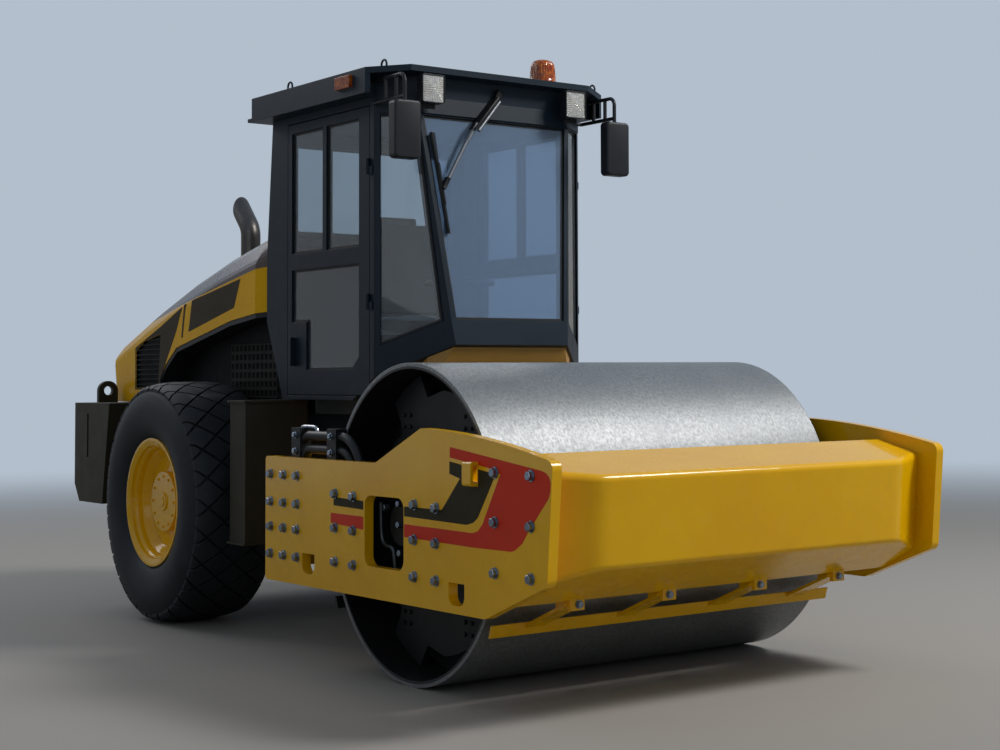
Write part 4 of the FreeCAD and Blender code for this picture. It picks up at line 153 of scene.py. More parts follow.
def spot(x, y, z):
    """A place given in millimetres: across, behind the drum's axle and above the ground."""
    return Vector((x / 1000, y / 1000 + AXLE.y, z / 1000))


def start_finish(name, rounding=EDGE_ROUNDING):
    """A new material with its shader, the object's own coordinates and rounded edges for a bump."""
    material = bpy.data.materials.new(name)
    material.use_nodes = True
    tree = material.node_tree
    shader = tree.nodes["Principled BSDF"]
    place = add(tree, "TexCoord").outputs["Object"]
    edges = add(tree, "Bevel", {"Radius": rounding}, samples=4).outputs["Normal"]
    return material, tree, shader, place, edges


def enamel(name, light, dark, roughness, coat=0.12, peel=0.12, shine=0.28):
    """Sprayed enamel on steel: slight cloudiness between two shades, gloss and orange peel."""
    material, tree, shader, place, edges = start_finish(name)
    cloud = add(tree, "TexNoise", {"Vector": place, "Scale": 1.7, "Detail": 6.0, "Roughness": 0.62})
    spread = add(tree, "MapRange", {"Value": cloud.outputs["Fac"], "From Min": 0.32, "From Max": 0.68})
    shade = add(tree, "Mix", {0: spread.outputs[0], 6: linear(dark), 7: linear(light)}, data_type="RGBA")
    film = add(tree, "TexNoise", {"Vector": place, "Scale": 9.0, "Detail": 4.0})
    gloss = add(tree, "MapRange", {"Value": film.outputs["Fac"], "To Min": roughness * 0.8, "To Max": roughness * 1.25})
    # Orange peel of 4 mm, drawn a little coarser than the real one so that it shows
    texture = add(tree, "TexNoise", {"Vector": place, "Scale": 240.0, "Detail": 2.0})
    bump = add(tree, "Bump", {"Height": texture.outputs["Fac"], "Strength": peel, "Distance": 0.0006,
                              "Normal": edges})
    tree.links.new(shade.outputs[2], shader.inputs["Base Color"])
    tree.links.new(gloss.outputs[0], shader.inputs["Roughness"])
    tree.links.new(bump.outputs[0], shader.inputs["Normal"])
    shader.inputs["Specular IOR Level"].default_value = shine
    shader.inputs["Coat Weight"].default_value = coat
    shader.inputs["Coat Roughness"].default_value = 0.04
    return material


def dress(material, *names):
    """Gives carried-over nodes their finish."""
    for name in names:
        for slot in nodes[name].material_slots:
            slot.material = material


def make_piece(name, shape, body, slot, *materials, smooth=math.radians(35), outward=True):
    """Turns a mesh in the making into a named piece that rides on a body."""
    if outward:
        bmesh.ops.recalc_face_normals(shape, faces=shape.faces)
    mesh = bpy.data.meshes.new(name)
    shape.to_mesh(mesh)
    shape.free()
    for material in materials:
        mesh.materials.append(material)
    mesh.shade_smooth()
    mesh.set_sharp_from_angle(angle=smooth)
    piece = bpy.data.objects.new(name, mesh)
    bpy.context.scene.collection.objects.link(piece)
    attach(piece, body)
    return piece


yellow_enamel = enamel("yellow_enamel", "#F2BC06", "#EAB004", 0.26, coat=0.5, shine=0.08)
dress(yellow_enamel, "side_plate_right", "side_plate_left", "front_beam", "rear_beam", "scraper_front",
      "rim_right", "rim_left")

# Stripes on the side plates: cut vinyl film, red and dark olive, on the enamel. The film is
# thin and slightly less glossy than the paint, and stops at the window and the tie-down slot.
FILM = 0.0006
RED_STRIPES = (
    ((507, 838), (169, 836), (169, 772), (507, 787)),
    ((-229, 824), (-835, 819), (-882, 831), (-918, 862), (-1056, 1079), (-1068, 1092), (-970, 1118), (-643, 1155),
     (-643, 1204), (-1384, 1121), (-1420, 1112), (-1444, 1094), (-1455, 1070), (-1452, 1032), (-1436, 1000),
     (-1280, 848), (-1240, 800), (-1183, 766), (-1150, 757), (-834, 754), (-229, 762)),
)
DARK_STRIPES = (
    ((477, 919), (169, 914), (169, 871), (477, 877)),
    ((-229, 908), (-571, 909), (-730, 1061), (-639, 1080), (-639, 1137), (-990, 1097), (-1012, 1088), (-1014, 1072),
     (-880, 890), (-843, 866), (-786, 853), (-229, 861)),
)
STRAP_SLOT = ((-884, -812), (1030, 1145))


def film_shape(outlines, hole=None):
    """Flat film on both plates, with a hole where something stands through it."""
    shape = bmesh.new()
    for side in (-1, 1):
        for outline in outlines:
            corners = [shape.verts.new(spot(side * PLATE_X, y, z)) for y, z in outline]
            shape.faces.new(corners if side > 0 else corners[::-1])
    if hole:
        for axis, pair in zip((1, 2), hole):
            for value in pair:
                whole = shape.verts[:] + shape.edges[:] + shape.faces[:]
                place = spot(0, value if axis == 1 else 0, value if axis == 2 else 0)
                normal = (0, 1, 0) if axis == 1 else (0, 0, 1)
                bmesh.ops.bisect_plane(shape, geom=whole, plane_co=place, plane_no=normal)
        low, high = spot(0, hole[0][0], hole[1][0]), spot(0, hole[0][1], hole[1][1])
        inside = [face for face in shape.faces
                  if low.y < face.calc_center_median().y < high.y and low.z < face.calc_center_median().z < high.z]
        bmesh.ops.delete(shape, geom=inside, context="FACES")
    thick = bmesh.ops.extrude_face_region(shape, geom=shape.faces[:])
    for thing in thick["geom"]:
        if isinstance(thing, bmesh.types.BMVert):
            thing.co.x += math.copysign(FILM, thing.co.x)
    return shape


red_film = enamel("red_vinyl_film", "#D8381A", "#CC3014", 0.40, coat=0.0, peel=0.03, shine=0.18)
dark_film = enamel("olive_vinyl_film", "#35301C", "#2C2818", 0.45, coat=0.0, peel=0.03, shine=0.12)
make_piece("stripes_red", film_shape(RED_STRIPES), "front_frame", "body_paint", red_film)
make_piece("stripes_dark", film_shape(DARK_STRIPES, STRAP_SLOT), "front_frame", "body_paint", dark_film)

# Bolts: zinc-plated M24 hex bolts on thick washers that hold the side plates to the beams and
# to the drum's carriers. The plating is bright with a bluish cast and dull where it is worn.
PLATE_BOLTS = [(y, z) for y in (1202, 1049, 898) for z in (1014, 866, 732, 587)]
PLATE_BOLTS += [(477, 940), (286, 934), (476, 767), (286, 764), (476, 595), (286, 592)]
PLATE_BOLTS += [(-308, 924), (-503, 918), (-306, 758), (-503, 754), (-306, 583), (-503, 580)]
PLATE_BOLTS += [(-1005, 1102), (-1289, 1099), (-1004, 881), (-1288, 879), (-1003, 656), (-1286, 653)]
BOLT_RADIUS = 0.0215
BOLT_HEAD = 0.017
WASHER_RADIUS = 0.027
WASHER = 0.006


def plating(name, light, dark, roughness):
    """Zinc plating or plain bright metal with dull patches."""
    material, tree, shader, place, edges = start_finish(name, 0.0015)
    patch = add(tree, "TexNoise", {"Vector": place, "Scale": 38.0, "Detail": 5.0, "Roughness": 0.65})
    shade = add(tree, "Mix", {0: patch.outputs["Fac"], 6: linear(dark), 7: linear(light)}, data_type="RGBA")
    dull = add(tree, "MapRange", {"Value": patch.outputs["Fac"], "To Min": roughness * 1.5, "To Max": roughness * 0.6})
    tree.links.new(shade.outputs[2], shader.inputs["Base Color"])
    tree.links.new(dull.outputs[0], shader.inputs["Roughness"])
    tree.links.new(edges, shader.inputs["Normal"])
    shader.inputs["Metallic"].default_value = 0.9
    return material


def add_bolt(shape, place, outward, radius=BOLT_RADIUS, head=BOLT_HEAD, washer=True, turn=0.2):
    """A hex head with a chamfer, on its washer, standing out of a face."""
    aim = outward.to_track_quat("Z", "Y").to_matrix().to_4x4() @ Matrix.Rotation(turn, 4, "Z")
    foot = WASHER if washer else 0
    if washer:
        at = Matrix.Translation(place + outward * foot / 2) @ aim
        bmesh.ops.create_cone(shape, cap_ends=True, segments=20, radius1=radius * 1.28, radius2=radius * 1.24,
                              depth=foot, matrix=at)
    at = Matrix.Translation(place + outward * (foot + head / 2)) @ aim
    made = bmesh.ops.create_cone(shape, cap_ends=True, segments=6, radius1=radius, radius2=radius, depth=head,
                                 matrix=at)
    faces = {face for vert in made["verts"] for face in vert.link_faces}
    top = max(faces, key=lambda face: face.calc_center_median().dot(outward))
    bmesh.ops.inset_region(shape, faces=[top], thickness=radius * 0.14, depth=radius * 0.09)


zinc = plating("zinc_plating", "#9DA8B6", "#59626D", 0.16)
bolts = bmesh.new()
for side in (-1, 1):
    for index, (y, z) in enumerate(PLATE_BOLTS):
        add_bolt(bolts, spot(side * PLATE_X, y - 20, z - 3), Vector((side, 0, 0)), turn=0.35 * index)
make_piece("plate_bolts", bolts, "front_frame", "rod_chrome", zinc, smooth=math.radians(25))

# Drum: a 35 mm rolled steel shell, turned true and worn bright by the ground it rolls, with
# fine dark pitting and faint marks around it. Its ends are set back and painted black.
DRUM_RADIUS = 0.8
BRIGHT_RIM = 0.018
drum_steel, tree, shader, place, edges = start_finish("rolled_drum_steel", 0.004)
centred = add(tree, "VectorMath", {0: place, 1: AXLE}, operation="SUBTRACT")
round_axle = add(tree, "VectorMath", {0: centred.outputs[0], 1: (0, 1, 1)}, operation="MULTIPLY")
reach = add(tree, "VectorMath", {0: round_axle.outputs[0]}, operation="LENGTH")
bright = add(tree, "Math", {0: reach.outputs["Value"], 1: DRUM_RADIUS - BRIGHT_RIM}, operation="GREATER_THAN")
# Pits and rolled-in scale of 10 to 20 mm, longer along the way the drum rolls, and cloudy wear
# over half a metre
stretched = add(tree, "Mapping", {"Vector": place, "Scale": (1.5, 1.0, 1.0)})
pits = add(tree, "TexNoise", {"Vector": stretched.outputs[0], "Scale": 52.0, "Detail": 7.0, "Roughness": 0.74})
wear = add(tree, "TexNoise", {"Vector": place, "Scale": 2.6, "Detail": 4.0, "Roughness": 0.6})
pit_edge = add(tree, "MapRange", {"Value": pits.outputs["Fac"], "From Min": 0.40, "From Max": 0.60})
wear_share = add(tree, "MapRange", {"Value": wear.outputs["Fac"], "From Min": 0.35, "From Max": 0.70})
worn = add(tree, "Mix", {0: wear_share.outputs[0], 6: linear("#85888A"), 7: linear("#96999A")}, data_type="RGBA")
pitted = add(tree, "Mix", {0: pit_edge.outputs[0], 6: linear("#75787B"), 7: worn.outputs[2]}, data_type="RGBA")
drum_colour = add(tree, "Mix", {0: bright.outputs[0], 6: linear("#1B1C1E"), 7: pitted.outputs[2]}, data_type="RGBA")
metal = add(tree, "Math", {0: bright.outputs[0], 1: 0.6}, operation="MULTIPLY")
rough = add(tree, "MapRange", {"Value": pits.outputs["Fac"], "To Min": 0.60, "To Max": 0.34})
bump = add(tree, "Bump", {"Height": pits.outputs["Fac"], "Strength": 0.55, "Distance": 0.002, "Normal": edges})
tree.links.new(drum_colour.outputs[2], shader.inputs["Base Color"])
tree.links.new(metal.outputs[0], shader.inputs["Metallic"])
tree.links.new(rough.outputs[0], shader.inputs["Roughness"])
tree.links.new(bump.outputs[0], shader.inputs["Normal"])
dress(drum_steel, "drum_shell")

# Drum carriers, yoke and chassis: welded and cast steel in satin black enamel.
black_enamel = enamel("black_enamel", "#1F2124", "#181A1C", 0.42, coat=0.0, shine=0.25)
# The rear scraper takes the black enamel too: painted shade where it stands behind the drum.
dress(black_enamel, "drum_mount_right", "drum_mount_left", "articulation_yoke", "rear_chassis", "rear_axle",
      "steer_barrel_right", "steer_barrel_left", "scraper_rear")
dress(plating("chromed_rod", "#E4E6E8", "#D0D3D6", 0.10), "steer_rod_right", "steer_rod_left")
CARRIER_BOLTS = [(side * math.cos(a) * 0.580, math.sin(a) * 0.580)
                 for side in (1, -1) for a in (math.radians(60), math.radians(-60))]
carrier_bolts = bmesh.new()
for side in (-1, 1):
    for y, z in CARRIER_BOLTS:
        for around in range(4):
            turn = math.radians(45 + 90 * around)
            place = AXLE + Vector((side * 0.905, y + 0.042 * math.cos(turn), z + 0.042 * math.sin(turn)))
            add_bolt(carrier_bolts, place, Vector((side, 0, 0)), radius=0.011, head=0.009, washer=False)
make_piece("carrier_bolts", carrier_bolts, "front_frame", "chassis_paint", black_enamel, smooth=math.radians(25))

# Rubber parts: hoses with a fine wrapped texture, and the moulded buffers.
hose_rubber, tree, shader, place, edges = start_finish("hose_rubber", 0.002)
dust = add(tree, "TexNoise", {"Vector": place, "Scale": 14.0, "Detail": 5.0})
shade = add(tree, "Mix", {0: dust.outputs["Fac"], 6: linear("#0D0E10"), 7: linear("#1A1B1E")}, data_type="RGBA")
weave = add(tree, "TexNoise", {"Vector": place, "Scale": 420.0, "Detail": 1.0})
bump = add(tree, "Bump", {"Height": weave.outputs["Fac"], "Strength": 0.2, "Distance": 0.0006, "Normal": edges})
tree.links.new(shade.outputs[2], shader.inputs["Base Color"])
tree.links.new(bump.outputs[0], shader.inputs["Normal"])
shader.inputs["Roughness"].default_value = 0.45
shader.inputs["Specular IOR Level"].default_value = 0.30
dress(hose_rubber, "rubber_buffers", "drum_hoses")

# Tyres: wide flotation tyres with a smooth sidewall and a tread of large diamond blocks between
# narrow diagonal grooves. The rubber is blue-black, dull and a little dusty.
WHEEL_X = 0.8635
TREAD_RADIUS = 0.755
GROOVE = 0.018
GROOVE_WIDTH = 0.015
BLOCKS_AROUND = 26
BLOCK_ACROSS = 0.200
SHOULDER = 0.258
CASING = (
    # distance from the tyre's middle, radius
    (0.000, 0.737), (0.060, 0.7365), (0.107, 0.735), (0.170, 0.727), (0.215, 0.719), (0.240, 0.711), (0.258, 0.694),
    (0.272, 0.664), (0.284, 0.632), (0.291, 0.600), (0.2935, 0.570), (0.291, 0.535), (0.285, 0.500), (0.275, 0.468),
    (0.262, 0.440), (0.248, 0.420), (0.236, 0.410), (0.234, 0.398), (0.234, 0.374),
)


def crown(x):
    """Radius of the blocks' tops at a distance from the tyre's middle."""
    x = abs(x)
    if x <= 0.107:
        return TREAD_RADIUS
    if x <= 0.238:
        return TREAD_RADIUS - 0.022 * ((x - 0.107) / 0.131) ** 1.4
    return TREAD_RADIUS - 0.022 - (x - 0.238) * 1.0


def tread_blocks():
    """The blocks of one pitch, laid flat: across on x, around on y, trimmed at the shoulders."""
    shape = bmesh.new()
    pitch = 2 * math.pi * TREAD_RADIUS / BLOCKS_AROUND
    half_x = BLOCK_ACROSS / 2 - GROOVE_WIDTH * 0.62
    half_y = pitch / 2 - GROOVE_WIDTH * 0.62
    for row in range(-3, 4):
        middle_x = row * BLOCK_ACROSS / 2
        middle_y = pitch / 2 * (row % 2)
        corners = ((half_x, 0), (0, half_y), (-half_x, 0), (0, -half_y))
        shape.faces.new([shape.verts.new((middle_x + x, middle_y + y, 0)) for x, y in corners])
    for side in (-1, 1):
        whole = shape.verts[:] + shape.edges[:] + shape.faces[:]
        bmesh.ops.bisect_plane(shape, geom=whole, plane_co=(side * SHOULDER, 0, 0), plane_no=(side, 0, 0),
                               clear_outer=True)
        for x in (0.107, 0.172, 0.238):
            whole = shape.verts[:] + shape.edges[:] + shape.faces[:]
            bmesh.ops.bisect_plane(shape, geom=whole, plane_co=(side * x, 0, 0), plane_no=(1, 0, 0))
    for share in (-0.25, 0, 0.25, 0.5, 0.75):
        whole = shape.verts[:] + shape.edges[:] + shape.faces[:]
        bmesh.ops.bisect_plane(shape, geom=whole, plane_co=(0, share * pitch, 0), plane_no=(0, 1, 0))
    sunk = bmesh.ops.extrude_face_region(shape, geom=shape.faces[:], use_keep_orig=True)
    deep = {thing for thing in sunk["geom"] if isinstance(thing, bmesh.types.BMVert)}
    for vert in shape.verts:
        radius = crown(vert.co.x) - (GROOVE + 0.004 if vert in deep else 0)
        angle = vert.co.y / TREAD_RADIUS
        vert.co = (vert.co.x, radius * math.sin(angle), radius * math.cos(angle))
    return shape


def tyre_rubber(name, light, dark):
    """Cured tyre rubber: dull, a little dusty, with a fine moulded skin."""
    material, tree, shader, place, edges = start_finish(name, 0.004)
    dust = add(tree, "TexNoise", {"Vector": place, "Scale": 6.0, "Detail": 8.0, "Roughness": 0.65})
    share = add(tree, "MapRange", {"Value": dust.outputs["Fac"], "From Min": 0.35, "From Max": 0.75})
    shade = add(tree, "Mix", {0: share.outputs[0], 6: linear(dark), 7: linear(light)}, data_type="RGBA")
    skin = add(tree, "TexNoise", {"Vector": place, "Scale": 300.0, "Detail": 3.0})
    bump = add(tree, "Bump", {"Height": skin.outputs["Fac"], "Strength": 0.35, "Distance": 0.0008, "Normal": edges})
    tree.links.new(shade.outputs[2], shader.inputs["Base Color"])
    tree.links.new(bump.outputs[0], shader.inputs["Normal"])
    shader.inputs["Roughness"].default_value = 0.62
    shader.inputs["Specular IOR Level"].default_value = 0.3
    return material


tread_rubber = tyre_rubber("tread_rubber", "#24282D", "#181B1F")
wheel_low, wheel_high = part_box("tyre_right")
WHEEL_AXIS = Vector((0, (wheel_low.y + wheel_high.y) / 2, (wheel_low.z + wheel_high.z) / 2))
for side, word in ((-1, "right"), (1, "left")):
    middle = WHEEL_AXIS + Vector((side * WHEEL_X, 0, 0))
    tyre = bmesh.new()
    outline = [tyre.verts.new((x, 0, radius)) for x, radius in [(-x, r) for x, r in CASING[:0:-1]] + list(CASING)]
    loop = outline + [outline[0]]
    rim_edges = [tyre.edges.new((loop[at], loop[at + 1])) for at in range(len(outline))]
    bmesh.ops.spin(tyre, geom=outline + rim_edges, cent=(0, 0, 0), axis=(1, 0, 0), angle=math.tau, steps=104,
                   use_merge=True)
    blocks = tread_blocks()
    bmesh.ops.spin(blocks, geom=blocks.verts[:] + blocks.edges[:] + blocks.faces[:], cent=(0, 0, 0), axis=(1, 0, 0),
                   angle=math.tau * (BLOCKS_AROUND - 1) / BLOCKS_AROUND, steps=BLOCKS_AROUND - 1, use_duplicate=True)
    block_mesh = bpy.data.meshes.new("tread")
    blocks.to_mesh(block_mesh)
    blocks.free()
    tyre.from_mesh(block_mesh)
    bpy.data.meshes.remove(block_mesh)
    bmesh.ops.translate(tyre, verts=tyre.verts, vec=middle)
    piece = make_piece("tyre_" + word + "_diamond_tread", tyre, "wheel_" + word, "tyre_rubber", tread_rubber)
    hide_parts("tyre_" + word)

# Wheel bolts: the hub cover is held by twelve small bolts around a stepped boss in its middle.
wheel_low, wheel_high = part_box("rim_right")
HUB_FACE = -wheel_low.x
for side, word in ((-1, "right"), (1, "left")):
    hub = bmesh.new()
    face_x = side * 1.033
    for step in range(12):
        turn = math.tau * step / 12
        place = WHEEL_AXIS + Vector((face_x, 0.158 * math.cos(turn), 0.158 * math.sin(turn)))
        add_bolt(hub, place, Vector((side, 0, 0)), radius=0.009, head=0.008, washer=False, turn=turn)
    aim = Matrix.Translation(WHEEL_AXIS + Vector((side * 1.038, 0, 0))) @ Matrix.Rotation(side * math.pi / 2, 4, "Y")
    for radius, rise in ((0.060, 0.010), (0.036, 0.020)):
        made = bmesh.ops.create_cone(hub, cap_ends=True, segments=40, radius1=radius, radius2=radius - 0.004,
                                     depth=rise, matrix=aim)
    make_piece("hub_bolts_" + word, hub, "wheel_" + word, "body_paint", yellow_enamel, smooth=math.radians(25))

# Rim steps: the rolled bead seat and gutter inside each rim, in the same enamel, and the valve.
RIM_STEPS = ((1.099, 0.3565), (1.080, 0.352), (1.072, 0.341), (1.062, 0.336), (1.036, 0.333), (1.028, 0.322),
             (0.994, 0.306), (0.9855, 0.296), (0.9855, 0.316), (1.044, 0.3565))
for side, word in ((-1, "right"), (1, "left")):
    steps = bmesh.new()
    line = [steps.verts.new((side * x, 0, radius)) for x, radius in RIM_STEPS]
    loop = [steps.edges.new((line[at - 1], line[at])) for at in range(len(line))]
    bmesh.ops.spin(steps, geom=line + loop, cent=(0, 0, 0), axis=(1, 0, 0), angle=math.tau, steps=96, use_merge=True)
    bmesh.ops.translate(steps, verts=steps.verts, vec=WHEEL_AXIS)
    make_piece("rim_steps_" + word, steps, "wheel_" + word, "body_paint", yellow_enamel, smooth=math.radians(40))
    valve = bmesh.new()
    for turn in (2.6, 3.75):
        out = Vector((0, math.cos(turn), math.sin(turn)))
        foot = WHEEL_AXIS + out * 0.285 + Vector((side * 0.984, 0, 0))
        aim = Matrix.Translation(foot + Vector((side * 0.022, 0, 0))) @ Matrix.Rotation(side * math.pi / 2, 4, "Y")
        bmesh.ops.create_cone(valve, cap_ends=True, segments=12, radius1=0.012, radius2=0.008, depth=0.044, matrix=aim)
    make_piece("tyre_valves_" + word, valve, "wheel_" + word, "rubber", hose_rubber)

# Cab: folded sheet steel in slate-blue enamel, satin, with the roof in the same paint.
slate_enamel = enamel("slate_enamel", "#1A2834", "#16222D", 0.42, coat=0.0, peel=0.08, shine=0.18)
dress(slate_enamel, "cab_frame", "cab_roof", "door_right", "door_left")

# Glass: 6 mm laminated safety glass. The windscreen is tinted blue, and a third of it is drawn as
# opaque pale blue, a painted reflection of the sky, so that the cab behind it looks pale and blue. The rest is nearly
# clear.


def glazing(name, tint, clear=1.0):
    """Float glass, flat and clear, tinted in the mass."""
    material, tree, shader, place, edges = start_finish(name, 0.001)
    shader.inputs["Base Color"].default_value = linear(tint)
    shader.inputs["Roughness"].default_value = 0.0
    shader.inputs["IOR"].default_value = 1.45
    shader.inputs["Transmission Weight"].default_value = clear
    # Light that falls through a pane isn't bent, so that the cab's inside is lit without grain
    passing = add(tree, "BsdfTransparent", {"Color": linear(tint)})
    rays = add(tree, "LightPath")
    either = add(tree, "MixShader", {0: rays.outputs["Is Shadow Ray"], 1: shader.outputs[0], 2: passing.outputs[0]})
    tree.links.new(either.outputs[0], tree.nodes["Material Output"].inputs["Surface"])
    return material


# A third of the windscreen is opaque pale blue: painted reflection of the sky.
windscreen_glass_painted_reflection = glazing("tinted_windscreen_glass_painted_reflection", "#94AAC4", clear=0.68)
pane_glass = glazing("clear_cab_glass", "#C9D3DA", clear=0.94)
dress(windscreen_glass_painted_reflection, "windscreen")
dress(pane_glass, "cab_panes", "door_glass_right", "door_glass_left")

# Hood: sheet steel, its sides and rear in the yellow enamel and its top in mauve-grey enamel.
HOOD_SPLIT = spot(0, 2424, 2209)
HOOD_SPLIT_FALL = 0.162
GRILLE_WAY = (spot(-716, 3888, 1464), spot(716, 4326, 1840))
GRILLE_HIGH = spot(0, 3897, 1836)
GRILLE_FALL = 0.148
hood_enamel = enamel("hood_two_colour_enamel", "#F2BC06", "#EAB004", 0.26, coat=0.15, peel=0.05, shine=0.15)
tree = hood_enamel.node_tree
shader = tree.nodes["Principled BSDF"]
yellow_shade = shader.inputs["Base Color"].links[0].from_socket
where = add(tree, "TexCoord").outputs["Object"]
apart = add(tree, "SeparateXYZ", {0: where})
level = add(tree, "Math", {0: apart.outputs["Y"], 1: HOOD_SPLIT_FALL, 2: apart.outputs["Z"]}, operation="MULTIPLY_ADD")
split = HOOD_SPLIT.z + HOOD_SPLIT_FALL * HOOD_SPLIT.y
is_top = add(tree, "Math", {0: level.outputs[0], 1: split}, operation="GREATER_THAN")
two = add(tree, "Mix", {0: is_top.outputs[0], 6: yellow_shade, 7: linear("#665A57")}, data_type="RGBA")
# The walls of the side grilles' openings are coloured black, like the slats in them: painted shade inside the openings
middle = (GRILLE_WAY[0] + GRILLE_WAY[1]) / 2
half = (GRILLE_WAY[1] - GRILLE_WAY[0]) / 2
off_middle = add(tree, "VectorMath", {0: where, 1: middle}, operation="SUBTRACT")
off_middle = add(tree, "VectorMath", {0: off_middle.outputs[0]}, operation="ABSOLUTE")
past = add(tree, "VectorMath", {0: off_middle.outputs[0], 1: half}, operation="SUBTRACT")
past = add(tree, "SeparateXYZ", {0: past.outputs[0]})
most = add(tree, "Math", {0: past.outputs["Y"], 1: past.outputs["Z"]}, operation="MAXIMUM")
most = add(tree, "Math", {0: most.outputs[0], 1: past.outputs["X"]}, operation="MAXIMUM")
in_box = add(tree, "Math", {0: most.outputs[0], 1: 0.0}, operation="LESS_THAN")
fall = add(tree, "Math", {0: apart.outputs["Y"], 1: GRILLE_FALL, 2: apart.outputs["Z"]}, operation="MULTIPLY_ADD")
under = add(tree, "Math", {0: fall.outputs[0], 1: GRILLE_HIGH.z + GRILLE_FALL * GRILLE_HIGH.y}, operation="LESS_THAN")
grille_wall_painted_shade = add(tree, "Math", {0: in_box.outputs[0], 1: under.outputs[0]}, operation="MULTIPLY")
three = add(tree, "Mix", {0: grille_wall_painted_shade.outputs[0], 6: two.outputs[2], 7: linear("#151617")}, data_type="RGBA")
tree.links.new(three.outputs[2], shader.inputs["Base Color"])
dress(hood_enamel, "hood")

# Panels on the hood's sides: dark film with slanted ends, between two yellow slashes.
HOOD_X = 720
HOOD_PANELS = (
    ((3386, 2045), (2658, 2155), (2751, 1975), (3441, 1838)),
    ((3512, 2020), (3482, 2027), (3530, 1806), (3557, 1800)),
    ((3541, 2008), (3908, 1882), (4332, 1748), (4321, 1724), (4189, 1790), (3896, 1833), (3927, 1500), (3902, 1518),
     (3793, 1657), (3635, 1850)),
    ((4321, 1724), (4332, 1748), (4332, 1457), (4321, 1457)),
    ((3930, 1468), (4321, 1468), (4321, 1457), (3930, 1457)),
)
hood_film = bmesh.new()
for side in (-1, 1):
    for outline in HOOD_PANELS:
        corners = [hood_film.verts.new(spot(side * HOOD_X, y, z)) for y, z in outline]
        hood_film.faces.new(corners)
thick = bmesh.ops.extrude_face_region(hood_film, geom=hood_film.faces[:])
for thing in thick["geom"]:
    if isinstance(thing, bmesh.types.BMVert):
        thing.co.x += math.copysign(FILM, thing.co.x)
hood_film_colour = enamel("brown_black_vinyl_film", "#463C2C", "#3B3325", 0.50, coat=0.0, peel=0.03, shine=0.10)
make_piece("hood_side_film", hood_film, "engine_hood", "chassis_paint", hood_film_colour)

# Moulded black plastic: the arch trim, mirrors and the steering column.
moulded, tree, shader, place, edges = start_finish("moulded_black_plastic", 0.004)
grain = add(tree, "TexNoise", {"Vector": place, "Scale": 520.0, "Detail": 2.0})
tone = add(tree, "TexNoise", {"Vector": place, "Scale": 7.0, "Detail": 3.0})
shade = add(tree, "Mix", {0: tone.outputs["Fac"], 6: linear("#15171B"), 7: linear("#22252B")}, data_type="RGBA")
bump = add(tree, "Bump", {"Height": grain.outputs["Fac"], "Strength": 0.3, "Distance": 0.0005, "Normal": edges})
tree.links.new(shade.outputs[2], shader.inputs["Base Color"])
tree.links.new(bump.outputs[0], shader.inputs["Normal"])
shader.inputs["Roughness"].default_value = 0.42
shader.inputs["Specular IOR Level"].default_value = 0.32
dress(moulded, "wheel_arches", "mirrors", "steering_column")

# Boxes: tanks and counterweight in olive-black structure paint.
box_enamel = enamel("olive_black_structure_paint", "#39352A", "#302D23", 0.50, coat=0.0, peel=0.3, shine=0.18)
dress(box_enamel, "tank_right", "tank_left", "counterweight")

# Exhaust: bare steel tube, browned by heat and satin.
dress(plating("heat_browned_steel", "#625E5C", "#454240", 0.36), "exhaust_pipe")

# Cowl under the cab: its front in a darker, duller copy of the yellow enamel, as painted shade under the
# cab, and grey-black behind the drum, where the floor of the cab, the valve block and the hoses are.
COWL_YELLOW_REAR = AXLE.y + 1.0
cowl_painted_shade_enamel = enamel("cowl_two_colour_painted_shade_enamel", "#BE9148", "#AE8440", 0.34)
tree = cowl_painted_shade_enamel.node_tree
shader = tree.nodes["Principled BSDF"]
yellow_shade = shader.inputs["Base Color"].links[0].from_socket
along = add(tree, "SeparateXYZ", {0: add(tree, "TexCoord").outputs["Object"]}).outputs["Y"]
is_rear = add(tree, "Math", {0: along, 1: COWL_YELLOW_REAR}, operation="GREATER_THAN")
two = add(tree, "Mix", {0: is_rear.outputs[0], 6: yellow_shade, 7: linear("#494C4B")}, data_type="RGBA")
tree.links.new(two.outputs[2], shader.inputs["Base Color"])
dress(cowl_painted_shade_enamel, "cab_base")

# Sides of the engine bay and slats of the hood's grilles: sheet steel in flat black.
flat_black = enamel("flat_black_paint", "#121314", "#0C0D0E", 0.60, coat=0.0, shine=0.12)
dress(flat_black, "bay_panels", "hood_grille")

